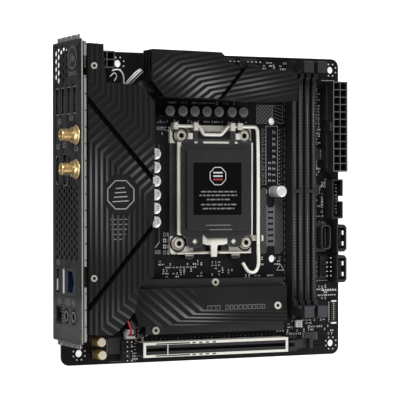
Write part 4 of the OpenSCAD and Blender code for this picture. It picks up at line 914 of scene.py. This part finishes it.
def lp(x, y, z=5.5):
    return (x + CX, y + CY, z)


corner = [lp(-25.3, 35.4), lp(-20, 35.4), lp(-10.2, 35.4), lp(-9.0, 35.1), lp(-8.0, 33.7), lp(-6.7, 31.5), lp(-5.6, 30.85), lp(-4.0, 30.8),
          lp(2.4, 30.8), lp(4.0, 30.85), lp(5.2, 31.6), lp(7.3, 33.8), lp(8.3, 35.0), lp(9.6, 35.4), lp(14.0, 35.4), lp(24.6, 35.4),
          lp(26.1, 34.8), lp(26.9, 33.6), lp(27.1, 31.5), lp(27.4, 20), lp(27.5, 0), lp(27.4, -20), lp(27.5, -34), lp(27.6, -41.0),
          lp(26.6, -44.6), lp(24.8, -46.1), lp(22.6, -46.2), lp(20.8, -45.2), lp(19.4, -43.4), lp(17.8, -40.8)]
lv.tube(corner, 0.98, 16, 0, 5)
lv.done("load_lever", replaces=["load_lever"])


def contact_field():
    """field of sprung contacts: rows of small gilt points over dark plastic"""
    m, nt, b = nodes_of("contact_field")
    tc = nt.nodes.new("ShaderNodeTexCoord")
    sep = nt.nodes.new("ShaderNodeSeparateXYZ")
    nt.links.new(tc.outputs["Object"], sep.inputs[0])
    sx_ = math2(nt, "SINE", math2(nt, "MULTIPLY", sep.outputs["X"], 2000 * math.pi / 0.94))
    sy_ = math2(nt, "SINE", math2(nt, "MULTIPLY", sep.outputs["Y"], 2000 * math.pi / 0.81))
    on = maprange(nt, math2(nt, "ADD", sx_, sy_), 0.5, 1.0, 0.0, 1.0)
    ns = N(nt, "ShaderNodeTexNoise", Scale=1400.0, Detail=2.0)
    nt.links.new(tc.outputs["Object"], ns.inputs["Vector"])
    lite = mixc(nt, ns.outputs["Fac"], rgba([0.62, 0.47, 0.22]), rgba([0.85, 0.68, 0.36]))
    nt.links.new(mixc(nt, on, rgba([0.022, 0.022, 0.023]), lite), b.inputs["Base Color"])
    nt.links.new(math2(nt, "MULTIPLY", on, 0.8), b.inputs["Metallic"])
    b.inputs["Roughness"].default_value = 0.35
    bp = N(nt, "ShaderNodeBump", Strength=0.6, Distance=0.0001)
    nt.links.new(on, bp.inputs["Height"])
    nt.links.new(bp.outputs[0], b.inputs["Normal"])
    return m


if "socket_contacts" in NODES:
    put("socket_contacts", contact_field())

# ------------------------------------------------------------------ screen print on the board
M["rim_steel"] = pbr("rim_steel", [0.30, 0.30, 0.30], rough=0.35, metal=0.4, fine=1500, bump=0.12, edge=0.3, edge_highlight_col=[0.5, 0.5, 0.5])
ZB = 0.0
M["silk_mid"] = pbr("screen_print_mid", [0.13, 0.13, 0.135], rough=0.6, var=0.08, scale=300, fine=4000, bump=0.3)
sk = MB("screen_print", [M["silk"], M["silk_dim"], M["paint_pale"], M["silk_mid"], M["label_dark"]])


def dash(x0, x1, y0, y1, mat=0):
    sk.box(x0, x1, y0, y1, ZB + 0.012, ZB + 0.045, mat)


for hx, hy in ((33.02, 163.83), (165.1, 163.83), (165.1, 6.35), (10.16, 6.35)):
    for k in range(8):
        a = math.radians(22.5 + 45 * k)
        x, y = hx + 3.55 * math.cos(a), hy + 3.55 * math.sin(a)
        if 0.6 < x < 169.6 and 0.6 < y < 169.6:
            sk.lathe((x, y, 0), [(0.46, 0.0), (0.42, 0.05)], "z", 12, mat=2)
# hatched box right of the top capacitors
sk.frame(117.3, 134.1, 132.3, 142.8, 0.22, 0.01, 0.045, 1)
sk.line((127.3, 132.4), (127.3, 142.7), 0.22, 0.01, 0.045, 0)
for k in range(8):
    a_, b_ = 132.6 + 2.1 * k - 5.0, 132.6 + 2.1 * k + 4.4
    x0, x1 = 117.6, 127.0
    y0_, y1_ = max(132.5, a_), min(142.6, b_)
    if y1_ - y0_ > 0.6:
        sl = (x1 - x0) / (b_ - a_)
        sk.line((x0 + (y0_ - a_) * sl, y0_), (x0 + (y1_ - a_) * sl, y1_), 0.85, 0.01, 0.045, 3)
for k in range(5):
    sk.line((127.8, 141.9 - 1.9 * k), (133.6, 140.2 - 1.9 * k), 0.42, 0.01, 0.045, 3)
# plain label field between socket and memory
for x in (123.3, 130.7):
    dash(x - 0.1, x + 0.1, 97.6, 130.9, 0)
dash(123.3, 130.7, 130.8, 131.0, 0)
for k in range(9):
    y = 99.2 + 3.4 * k
    for j in range(2):
        w_ = 1.3 + 1.1 * rnd.random()
        if j or k < 4:
            dash(124.9 + 2.7 * j, 125.1 + 2.7 * j, y, y + w_, 0)
            dash(126.2 + 2.7 * j, 126.4 + 2.7 * j, y, y + w_ * 0.8, 0)
            dash(125.1 + 2.7 * j, 126.2 + 2.7 * j, y + w_ * 0.5, y + w_ * 0.5 + 0.3, 0)
for k in range(16):
    y = 97.8 + 2.05 * k
    dash(120.5, 122.6, y, y + 0.32, 1)
    dash(120.5, 121.0 + 1.5 * rnd.random(), y + 1.0, y + 1.32, 1)
    dash(131.7, 132.1, y, y + 0.4, 0 if k % 3 else 2)
    dash(133.1, 133.5, y + 0.6, y + 1.0, 1)
# hatched field lower down with its plain column
for k in range(29):
    y = 57.2 + 1.32 * k
    for xa, xb in ((119.4, 123.7), (128.7, 134.0)):
        ya, yb = y, y + (xb - xa) * 0.62
        if ya < 58.4:
            xa, ya = xa + (58.4 - ya) / 0.62, 58.4
        if yb > 96.0:
            xb, yb = xb - (yb - 96.0) / 0.62, 96.0
        if xb > xa + 0.3:
            sk.line((xa, ya), (xb, yb), 0.42, 0.01, 0.045, 3)
for k in range(7):
    dash(124.7, 127.9, 63.0 + 3.3 * k, 65.0 + 3.3 * k, 3)
dash(123.9, 124.1, 62.6, 86.1, 0)
dash(128.3, 128.5, 62.6, 86.1, 0)
# small plain triangle and marks beside it
for a, b_ in (((130.1, 49.1), (134.6, 49.0)), ((134.6, 49.0), (132.4, 52.5)), ((132.4, 52.5), (130.1, 49.1))):
    sk.line(a, b_, 0.28, 0.01, 0.045, 0)
for k in range(4):
    dash(129.5 + 1.4 * k, 130.3 + 1.4 * k, 41.2, 41.7, 0)
    dash(129.5 + 1.4 * k, 130.1 + 1.4 * k, 43.2, 43.6, 1)
for k in range(4):
    dash(131.0, 131.0 + 1.4 + 0.5 * (k % 2), 53.8 + 0.9 * k, 54.1 + 0.9 * k, 1)
# dashed outline left of the memory slots, marks right of them
for k in range(34):
    y = 40.0 + 3.55 * k
    dash(135.0, 135.25, y, y + 1.7, 1)
for k in range(6):
    dash(159.6 + 1.6 * k, 160.7 + 1.6 * k, 36.4, 37.6, 0)
    dash(160.4 + 1.4 * k, 161.2 + 1.4 * k, 33.8, 34.5, 0)
for k in range(34):
    y = 104.6 + 1.6 * k
    if rnd.random() < 0.8:
        dash(155.0, 155.0 + 0.8 + 1.8 * rnd.random(), y, y + 0.45, rnd.choice((0, 1, 1)))
for k in range(7):
    dash(159.2 + 1.25 * k, 159.9 + 1.25 * k, 157.6, 158.0, 0)
for k in range(4):
    dash(155.9 + 0.75 * k, 156.3 + 0.75 * k, 94.9, 97.4, 1)
for k in range(5):
    dash(159.4, 159.8, 83.0 + 2.3 * k, 83.4 + 2.3 * k, 0)
for k in range(9):
    dash(155.0 + 0.93 * k, 155.5 + 0.93 * k, 42.4, 42.9, 0 if k % 2 else 1)
for k in range(32):
    dash(47.4 + 2.6 * k, 48.0 + 2.6 * k, 12.5, 12.9, 0 if k % 4 == 0 else 1)
for k in range(3):
    dash(130.0 + 1.8 * k, 130.9 + 1.8 * k, 14.0, 14.9, 0)
    dash(130.0 + 1.8 * k, 130.9 + 1.8 * k, 16.6, 17.4, 1)
for k in range(3):
    dash(123.4 + 0.9 * k, 123.9 + 0.9 * k, 92.6, 94.9, 0)
# marks lower left, below the socket and round the audio parts
for k in range(4):
    for j in range(2):
        x0, y0 = 59.8 + 2.6 * j, 59.2 + 3.3 * k
        sk.frame(x0, x0 + 1.7, y0, y0 + 2.1, 0.42, 0.01, 0.045, 0 if (k + j) % 3 else 1)
for k in range(4):
    dash(54.8 + 0.9 * k, 55.3 + 0.9 * k, 59.4, 61.6, 1)
sk.line((55.0, 63.0), (57.6, 66.4), 0.3, 0.01, 0.045, 0)
for k in range(5):
    dash(56.0 + 1.1 * k, 56.7 + 1.1 * k, 127.8, 129.8, 1)
    dash(56.4 + 1.1 * k, 57.1 + 1.1 * k, 131.8, 132.6, 1)
dash(66.0, 84.0, 45.2, 45.4, 1)
for k in range(6):
    dash(54.9, 56.2, 76.6 + 7.45 * k, 76.9 + 7.45 * k, 1)
    dash(56.8, 57.5, 79.6 + 7.45 * k, 80.0 + 7.45 * k, 0)
for k in range(9):
    dash(41.2 + 0.75 * (k % 3) * 1.6, 41.9 + 0.75 * (k % 3) * 1.6, 1.8 + 1.5 * (k // 3), 2.6 + 1.5 * (k // 3), 0)
for k in range(12):
    dash(28.0 + 1.3 * k, 28.8 + 1.3 * k, 1.0, 1.35, 1)
sk.line((12.6, 14.2), (12.6, 15.4), 0.3, 0.01, 0.045, 0)
sk.line((16.3, 12.2), (16.3, 15.2), 0.25, 0.01, 0.045, 1)
for x0, x1, y0, y1 in ((26.2, 34.3, 5.5, 14.6), (156.2, 162.3, 43.9, 57.6), (34.0, 39.4, 0.7, 13.9), (150.9, 154.2, 43.9, 55.1)):
    sk.frame(x0, x1, y0, y1, 0.16, 0.01, 0.04, 1)
# socket outline corner marks
for x0, x1, y0, y1 in ((57.2, 58.0, 66.0, 120.0), (119.0, 119.2, 100.0, 128.0)):
    dash(x0, x0 + 0.18, y0, y1, 1)
for k in range(3):
    dash(106.6 + 5.4 * k, 108.9 + 5.4 * k, 150.4, 150.75, 0)
sk.done("board")

# ------------------------------------------------------------------ small surface parts
sm = MB("surface_parts", [M["ceramic"], M["tin"], M["resistor"]])


def smd(x, y, w=1.0, h=0.5, vert=False, kind=0, z=0.45):
    """two tinned ends with a ceramic or resistive body"""
    if vert:
        hx, hy = h / 2, w / 2
        sm.box(x - hx, x + hx, y - hy, y - hy * 0.5, 0, z + 0.02, 1, 0.05)
        sm.box(x - hx, x + hx, y + hy * 0.5, y + hy, 0, z + 0.02, 1, 0.05)
        sm.box(x - hx * 0.94, x + hx * 0.94, y - hy * 0.55, y + hy * 0.55, 0, z, kind, 0.04)
    else:
        hx, hy = w / 2, h / 2
        sm.box(x - hx, x - hx * 0.5, y - hy, y + hy, 0, z + 0.02, 1, 0.05)
        sm.box(x + hx * 0.5, x + hx, y - hy, y + hy, 0, z + 0.02, 1, 0.05)
        sm.box(x - hx * 0.55, x + hx * 0.55, y - hy * 0.94, y + hy * 0.94, 0, z, kind, 0.04)


def cluster(x0, x1, y0, y1, n, big=0.25):
    cells = []
    sx, sy = 2.1, 1.7
    y = y0
    while y <= y1 + 0.01:
        x = x0
        while x <= x1 + 0.01:
            cells.append((x, y))
            x += sx
        y += sy
    rnd.shuffle(cells)
    for (x, y) in cells[:n]:
        s_ = 1.5 if rnd.random() < big else 1.0
        smd(x, y, 1.1 * s_, 0.6 * s_, rnd.random() < 0.5, rnd.choice((0, 0, 2)), 0.5 * s_)


for a in ((57.5, 84.0, 46.8, 55.6, 34), (89.5, 97.4, 47.5, 54.4, 12), (99.5, 101.9, 48.0, 50.6, 3), (137.6, 140.4, 16.4, 20.6, 4),
          (147.0, 152.8, 18.4, 20.6, 5), (146.2, 164.0, 14.6, 17.2, 10), (44.6, 47.2, 12.2, 17.4, 6), (122.0, 137.2, 163.4, 168.0, 12),
          (61.0, 109.0, 143.2, 143.3, 16), (40.6, 43.6, 5.6, 12.2, 6), (3.0, 8.8, 18.0, 24.0, 6), (12.4, 16.0, 14.2, 17.4, 4),
          (104.0, 128.0, 44.6, 47.6, 14), (59.0, 66.0, 126.0, 131.0, 8), (68.0, 112.0, 127.8, 129.8, 14), (155.4, 158.4, 108.2, 123.4, 10),
          (155.4, 160.6, 76.2, 79.6, 5), (112.0, 131.6, 146.6, 149.6, 10), (118.4, 131.0, 52.6, 57.0, 8), (40.4, 46.4, 44.8, 54.4, 8),
          (163.4, 168.0, 12.0, 14.6, 3), (132.0, 146.0, 22.6, 24.8, 6), (155.0, 163.0, 32.4, 40.6, 14), (155.0, 158.8, 126.0, 156.0, 22),
          (155.0, 158.6, 98.4, 107.0, 6), (159.4, 163.0, 96.8, 101.6, 5), (155.0, 160.0, 82.0, 93.0, 12), (134.6, 150.0, 12.6, 14.4, 8),
          (58.0, 112.0, 132.8, 133.6, 18), (41.0, 50.0, 13.0, 19.0, 8), (152.0, 160.4, 18.4, 24.0, 8)):
    cluster(*a)
# small inductor
sm.box(141.5, 145.6, 16.3, 20.4, 0, 2.0, 1, 0.3)
for k in range(3):
    sm.line((142.4, 17.4 + 0.95 * k), (144.7, 17.4 + 0.95 * k), 0.3, 2.0, 2.04, 2)
for k in range(11):
    sm.box(163.4 + 0.0, 164.2, 18.6 + 1.1 * k, 19.1 + 1.1 * k, 0, 0.3, 1)
# gull-wing leads of the packages
for (x0, x1, y0, y1, pitch) in ((26.8, 33.8, 6.0, 14.2, 0.55), (147.4, 155.2, 8.6, 13.4, 0.65), (153.2, 157.2, 92.0, 97.6, 0.8), (154.0, 158.0, 112.0, 118.4, 0.8)):
    n = int((y1 - y0 - 0.8) / pitch)
    for k in range(n):
        y = y0 + 0.5 + k * pitch
        for s_, xe in ((-1, x0), (1, x1)):
            sm.box(min(xe, xe + s_ * 0.7), max(xe, xe + s_ * 0.7), y, y + pitch * 0.5, 0, 0.18, 1)
sm.done("board")

# ------------------------------------------------------------------ connector at the right edge, pin rows
cn = MB("edge_connector", [M["white"], M["pin"], M["plastic"]])
cn.box(164.4, 167.7, 17.6, 31.1, 0, 1.6, 2, 0.2)
cn.box(164.4, 167.7, 17.6, 18.5, 0, 2.2, 0, 0.2)
cn.box(164.4, 167.7, 30.2, 31.1, 0, 2.2, 0, 0.2)
for k in range(9):
    cn.box(165.9, 166.4, 20.1 + k * 1.1, 20.5 + k * 1.1, 1.5, 1.75, 1)
cn.done("board")

# ------------------------------------------------------------------ socket cover print and label
SX, SY = CX, CY


def sb(mb, x0, x1, y0, y1, z0, z1, mat=0):
    mb.box(SX + x0, SX + x1, SY + y0, SY + y1, z0, z1, mat)


lb = MB("cover_label", [M["label_dark"], M["paint_pale"], M["paint_red"], M["silk_dim"]])
lb.prism([(SX + a, SY + b_) for a, b_ in rr(-13.6, 15.7, -13.7, 15.3, 0.8)], 7.9, 7.98, 0)
cxm, cym = SX + 1.26, SY + 7.8
hexo = [(cxm + 5.2 * math.cos(math.radians(22.5 + 45 * k)), cym + 5.2 * math.sin(math.radians(22.5 + 45 * k))) for k in range(8)]
for k in range(8):
    lb.line(hexo[k], hexo[(k + 1) % 8], 0.42, 7.98, 8.03, 1)
sb(lb, -1.6, 4.1, 9.3, 10.1, 7.98, 8.03, 1)
sb(lb, -1.6, 4.1, 7.4, 8.2, 7.98, 8.03, 1)
sb(lb, -1.6, 4.1, 5.5, 6.3, 7.98, 8.03, 2)
for y, x0, x1 in ((-0.85, -9.1, 12.7), (-2.9, -10.1, 13.1), (-5.2, -5.6, 8.5), (-8.0, -9.1, 12.7), (-10.2, -8.0, 11.3)):
    x = x0
    while x < x1 - 0.5:
        w_ = min(x1 - x, 1.2 + 2.2 * rnd.random())
        sb(lb, x, x + w_, y - 0.36, y + 0.36, 7.98, 8.025, 3)
        x += w_ + 0.7
lb.done("socket_cover")
gp = MB("cover_grip", [M["silk_dim"], M["plastic2"]])
sb(gp, -6.3, 8.9, -19.65, -19.2, 8.2, 8.5, 0)
sb(gp, -4.2, 9.9, -22.15, -21.7, 8.15, 8.4, 0)
gp.done("socket_cover")
wd = MB("plate_bright_edges", [M["ilm"]])
for x0, x1 in ((-12, -10), (-6.8, 9.3), (12.6, 14.6)):
    sb(wd, x0 + 0.05, x1 - 0.05, 25.95, 27.05, 5.0, 5.5)
for x, y in ((-11.8, -28.4), (11.9, -28.6)):
    wd.prism([(SX + x, SY + y - 1.5), (SX + x + 1.5, SY + y), (SX + x, SY + y + 1.5), (SX + x - 1.5, SY + y)], 5.0, 5.5, 0)
wd.done("load_plate")

ILM_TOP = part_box("ilm_screws")[1][2] * 1000.0

# ------------------------------------------------------------------ wires
M["wire_grey"] = pbr("wire_grey", [0.22, 0.22, 0.21], rough=0.4, fine=1500, bump=0.1, var=0.06)
wp = MB("antenna_leads", [M["wire_white"], M["gold"], M["wire_grey"]])
wp.tube([(22.4, 155.6, 15), (24.4, 157.4, 16), (26.0, 155.8, 15.6), (24.8, 153.2, 15)], 0.3, 8, 0, 6)
wp.tube([(21.6, 158.4, 20), (23.6, 158.9, 20.6), (25.6, 158.7, 20.6), (27.4, 157.2, 20), (28.5, 155.3, 19), (29.9, 151.3, 16)], 0.42, 10, 0, 6)
wp.tube([(38.6, 159.2, 20), (36.2, 157.4, 20.6), (34.3, 155.4, 20), (32.8, 153.4, 18.5), (31.7, 151.4, 16)], 0.42, 10, 0, 6)
wp.tube([(39.3, 158.3, 20.5), (37.0, 156.5, 21), (35.2, 154.5, 20.4), (33.8, 152.5, 19), (32.9, 150.9, 16.4)], 0.34, 10, 2, 6)
wp.tube([(37.8, 159.6, 19.5), (35.2, 157.9, 20.2), (33.4, 156.0, 19.6), (31.9, 153.8, 18), (30.8, 151.8, 15.6)], 0.36, 10, 0, 6)
wp.done("board")
# painted shade: dark rings round the four frame screws, dark star sockets in them, and dark sockets in the heatsink and
# drive-cover screws
ss = MB("screw_sockets", [M["label_dark"], M["screw"]])
for x, y in ((-19.3, 30.2), (19.3, 30.4), (-20.8, -29.4), (20.4, -29.4)):
    o_ = (SX + x, SY + y, 0)
    ss.lathe(o_, [(3.95, 2.62), (3.95, 2.70), (4.75, 2.70), (4.75, 2.62)], "z", 40, mat=0, ring=True)
    ss.prism([(o_[0] + (1.75 if k % 2 else 1.25) * math.cos(math.radians(30 * k)), o_[1] + (1.75 if k % 2 else 1.25) * math.sin(math.radians(30 * k))) for k in range(12)], ILM_TOP, ILM_TOP + 0.06, 0)
    ss.lathe(o_, [(2.75, ILM_TOP - 0.08), (2.75, ILM_TOP + 0.05), (3.05, ILM_TOP + 0.05), (3.05, ILM_TOP - 0.08)], "z", 40, mat=0, ring=True)
for x, y, zt_ in ((5.0, 159.5, 36.7), (4.8, 48.8, 36.7), (87.9, 43.6, 8.2), (51.9, 18.0, 8.2)):
    ss.prism([(x + (1.05 if k % 2 else 0.72) * math.cos(math.radians(30 * k)), y + (1.05 if k % 2 else 0.72) * math.sin(math.radians(30 * k))) for k in range(12)], zt_ - 0.05, zt_ + 0.03, 0)
ss.done("board")
# painted shade: dark socket in the drive-cover screw
cm = MB("cover_screw_socket", [M["label_dark"]])
cm.prism([(124.6 + (1.05 if k % 2 else 0.72) * math.cos(math.radians(30 * k)), 29.9 + (1.05 if k % 2 else 0.72) * math.sin(math.radians(30 * k))) for k in range(12)], 12.25, 12.33, 0)
cm.done("m2_cover")
bw = MB("battery_leads", [M["wire_red"], M["wire_black"]])
bw.tube([(37.7, 15.6, 4.3), (37.6, 15.8, 6.2), (36.8, 17.6, 9.4), (35.0, 20.8, 12.2), (32.8, 24.4, 14.0)], 0.6, 12, 0, 6)
bw.tube([(39.6, 15.6, 4.3), (39.6, 15.8, 6.2), (38.9, 17.4, 9.4), (36.9, 20.6, 12.0), (34.4, 24.4, 14.0)], 0.6, 12, 1, 6)
bw.done("board", replaces=["battery_wires"])

# ------------------------------------------------------------------ rear heatsink plaque, drive cover bars
pq = MB("heatsink_plaque", [M["emblem"], M["silk_dim"]])
cx_, cy_, rr2 = 20.0, 92.3, 8.0
pts = [(cx_ + rr2 * math.cos(math.radians(22.5 + 45 * k)), cy_ + rr2 * math.sin(math.radians(22.5 + 45 * k))) for k in range(8)]
for k in range(8):
    pq.line(pts[k], pts[(k + 1) % 8], 0.5, 36.0, 36.10, 0)
for k in range(4):
    pq.line((cx_ - 4.6 + 0.6 * k, cy_ - 3.6 + 2.3 * k), (cx_ + 4.4 - 0.7 * k, cy_ - 3.2 + 2.3 * k), 0.5, 36.0, 36.10, 0)
for k in range(5):
    pq.line((14.0 + 0.2 * k, 79.4 - 2.6 * k), (24.6 - 0.6 * k, 79.4 - 2.6 * k), 0.5, 36.0, 36.07, 1)
pq.done("board")
DBY = 28.4
db = MB("drive_cover_marks", [M["silk_dim"], M["silk_mid"]])
x = 81.0
while x < 116.0:
    w_ = 1.9 + 0.7 * rnd.random()
    if not (87.6 < x < 90.2):
        db.frame(x, min(x + w_, 117.0), DBY, DBY + 2.6, 0.34, 11.98, 12.06, 1)
    x += w_ + 0.55
db.done("m2_cover")

# ------------------------------------------------------------------ underside: joints of soldered pins
ud = MB("solder_tails", [M["tin"]])


def tail(x, y, r=0.55):
    ud.lathe((x, y, 0), [(r * 1.5, -1.57), (r * 1.1, -1.8), (r * 0.55, -2.4), (r * 0.5, -2.9), (r * 0.3, -2.95)], "z", 10, mat=0)


for i in range(2):
    for j in range(12):
        tail(162.8 + 4.2 * i, 106.7 + 4.2 * j, 0.6)
for i in range(4):
    for j in range(2):
        tail(107.7 + 4.2 * i, 160.2 + 4.2 * j, 0.6)
for i in range(16):
    for j in range(4):
        tail(3.4 + 2.6 * j, 40.0 + 7.2 * i + (j % 2) * 1.6, 0.5)
for x in (60.2, 67.9, 75.1, 82.5, 89.9, 97.9, 105.0):
    tail(x - 1.2, 138.2, 0.4)
    tail(x + 1.2, 138.2, 0.4)
for i in range(5):
    for j in range(2):
        tail(35.4 + 2.54 * j, 2.2 + 2.54 * i, 0.35)
        tail(158.0 + 2.54 * j, 45.7 + 2.54 * i, 0.35)
for i in range(10):
    for j in range(2):
        tail(163.2 + 2.0 * j, 80.8 + 2.0 * i, 0.35)
ud.done("board")

# ------------------------------------------------------------------ rims of the panel openings
rm = MB("opening_rims", [M["rim_steel"], M["label_dark"], M["tin"]])
for z in (16.8, 27.6):
    rm.lathe((0, 28.2, z), [(2.2, -3.0), (2.2, -3.45), (2.75, -3.45), (2.75, -3.0)], "x", 32, mat=0, ring=True)
for (y0, y1, z0, z1) in ((97.6, 113.2, 0.8, 5.7), (97.3, 113.9, 11.7, 18.1), (23.8, 32.6, 0.8, 9.8)):
    for a in ((y0, y1, z0, z0 + 0.4), (y0, y1, z1 - 0.4, z1), (y0, y0 + 0.4, z0, z1), (y1 - 0.4, y1, z0, z1)):
        rm.box(-3.2, -2.9, a[0], a[1], a[2], a[3], 1 if y0 > 90 else 0)
# bright sprung sheet seen inside the two lower openings
rm.box(-2.95, -2.6, 41.3, 47.3, 1.3, 2.3, 2)
rm.box(-2.95, -2.6, 40.0, 52.8, 5.75, 6.15, 2)
rm.box(-2.95, -2.6, 40.0, 52.8, 10.4, 12.2, 2)
rm.done("board")
# painted shade: dark strip closing the gap between the panel and the board's rear edge, where shadow lies
es = MB("rear_edge_strip", [M["film"]])
es.box(-2.45, -0.05, 17.0, 152.0, -1.55, -1.25, 0)
es.done("board")
# faint plain marks beside the openings
pm = MB("panel_marks", [M["silk_mid"]])


def mark(y, z, h=2.6, w=4.6, bars=1):
    """plain outline with a bar or two inside, no sign or letter"""
    pm.box(-3.42, -3.34, y, y + 0.4, z, z + w, 0)
    pm.box(-3.42, -3.34, y + h - 0.4, y + h, z, z + w, 0)
    pm.box(-3.42, -3.34, y + 0.4, y + h - 0.4, z, z + 0.9, 0)
    pm.box(-3.42, -3.34, y + 0.4, y + h - 0.4, z + w - 0.9, z + w, 0)
    for k in range(bars):
        pm.box(-3.42, -3.34, y + 0.9 + 0.9 * k, y + 1.3 + 0.9 * k, z + 1.6, z + w - 1.6, 0)


for y, z in ((129.9, 4.6), (131.2, 22.4), (116.6, 2.2), (117.2, 12.2), (115.0, 29.6), (54.9, 2.2)):
    mark(y, z)
mark(34.2, 15.6, 3.4, 6.4, 2)
mark(34.4, 25.6, 2.6, 4.6, 1)
mark(34.4, 4.4, 2.6, 4.6, 1)
pm.lathe((0, 164.2, 26.6), [(5.8, -3.34), (5.8, -3.42), (6.4, -3.42), (6.4, -3.34)], "x", 8, mat=0, ring=True)
for k in range(3):
    pm.box(-3.42, -3.34, 161.6 + 0.4 * k, 166.4 - 0.8 * k, 23.9 + 2.2 * k, 24.8 + 2.2 * k, 0)
for y in (155.0, 156.1):
    for k in range(4):
        pm.box(-3.42, -3.34, y, y + 0.5, 21.2 + 3.0 * k, 23.4 + 3.0 * k, 0)
pm.done("board")


# ------------------------------------------------------------------ floor, light, camera
lo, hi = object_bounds()
FLOOR = (lo[2] if not hasattr(lo, "z") else lo.z) - 0.00002
me = bpy.data.meshes.new("floor")
me.from_pydata([(-3.0, -3.0, FLOOR), (3.0, -3.0, FLOOR), (3.0, 3.0, FLOOR), (-3.0, 3.0, FLOOR)], [], [(0, 1, 2, 3)])
fl, nt, b = nodes_of("floor_white")
tcn = nt.nodes.new("ShaderNodeTexCoord")
ns = N(nt, "ShaderNodeTexNoise", Scale=90.0, Detail=3.0)
nt.links.new(tcn.outputs["Object"], ns.inputs["Vector"])
b.inputs["Specular IOR Level"].default_value = 0.2
nt.links.new(maprange(nt, ns.outputs["Fac"], 0.3, 0.7, 0.75, 0.85), b.inputs["Roughness"])
lp_ = nt.nodes.new("ShaderNodeLightPath")
# seen directly the sheet is lit paper; to everything else it is a grey card, so the board stays dark
nt.links.new(mixc(nt, lp_.outputs["Is Camera Ray"], rgba([0.30, 0.30, 0.30]), mixc(nt, ns.outputs["Fac"], rgba([0.80, 0.80, 0.80]), rgba([0.83, 0.83, 0.83]))), b.inputs["Base Color"])
b.inputs["Emission Color"].default_value = (1, 1, 1, 1)
nt.links.new(math2(nt, "MULTIPLY", lp_.outputs["Is Camera Ray"], 0.80), b.inputs["Emission Strength"])
# open from beneath, so the underside can be looked at
gb = nt.nodes.new("ShaderNodeNewGeometry")
tb = nt.nodes.new("ShaderNodeBsdfTransparent")
ms = nt.nodes.new("ShaderNodeMixShader")
out_ = [n for n in nt.nodes if n.type == "OUTPUT_MATERIAL"][0]
nt.links.new(gb.outputs["Backfacing"], ms.inputs[0])
nt.links.new(b.outputs[0], ms.inputs[1])
nt.links.new(tb.outputs[0], ms.inputs[2])
nt.links.new(ms.outputs[0], out_.inputs["Surface"])
me.materials.append(fl)
floor = bpy.data.objects.new("floor", me)
bpy.context.scene.collection.objects.link(floor)

world = bpy.data.worlds.new("studio")
bpy.context.scene.world = world
world.use_nodes = True
wn = world.node_tree
wn.nodes.clear()
wo = wn.nodes.new("ShaderNodeOutputWorld")
bg = wn.nodes.new("ShaderNodeBackground")
tcw = wn.nodes.new("ShaderNodeTexCoord")
sepw = wn.nodes.new("ShaderNodeSeparateXYZ")
wn.links.new(tcw.outputs["Generated"], sepw.inputs[0])
ramp = wn.nodes.new("ShaderNodeMapRange")
wn.links.new(sepw.outputs["Z"], ramp.inputs[0])
for i, x in enumerate((0.15, 0.85, 0.75, 0.28)):
    ramp.inputs[i + 1].default_value = x
lpw = wn.nodes.new("ShaderNodeLightPath")
mx = wn.nodes.new("ShaderNodeMix")
mx.data_type = "FLOAT"
wn.links.new(lpw.outputs["Is Camera Ray"], mx.inputs[0])
wn.links.new(ramp.outputs[0], mx.inputs[2])
mx.inputs[3].default_value = 1.0
wn.links.new(mx.outputs[0], bg.inputs["Strength"])
bg.inputs["Color"].default_value = (1, 1, 1, 1)
wn.links.new(bg.outputs[0], wo.inputs["Surface"])


def area(name, loc, target, size, power, size_y=None, color=(1, 1, 1)):
    d = bpy.data.lights.new(name, "AREA")
    d.energy = power
    d.color = color
    d.shape = "RECTANGLE"
    d.size = size
    d.size_y = size_y or size
    o = bpy.data.objects.new(name, d)
    bpy.context.scene.collection.objects.link(o)
    v = Vector(target) - Vector(loc)
    o.matrix_world = Matrix.Translation(loc) @ v.to_track_quat("-Z", "Y").to_matrix().to_4x4()
    return o


area("key", (-0.35, 0.65, 0.80), (0, 0, 0), 0.50, 7.0)
area("rear_fill", (-0.75, -0.10, 0.35), (0, 0, 0.01), 0.45, 1.6)
area("front_fill", (0.55, -0.45, 0.55), (0, 0, 0), 0.50, 2.5)

cam = bpy.data.cameras.new("camera")
cam.lens = 156.94
cam.sensor_width = 36.0
cam.clip_start = 0.01
co = bpy.data.objects.new("camera", cam)
bpy.context.scene.collection.objects.link(co)
fwd = Vector((0.41688, -0.00563, -0.90895)).normalized()
right = Vector((0.90896, -0.00129, 0.41689))
right = (right - fwd * right.dot(fwd)).normalized()
upv = right.cross(fwd).normalized()
mm = Matrix((right, upv, -fwd)).transposed().to_4x4()
mm.translation = Vector((-0.41128, -0.00001, 0.88355))
co.matrix_world = mm
bpy.context.scene.camera = co
bpy.context.scene.view_settings.view_transform = "Standard"
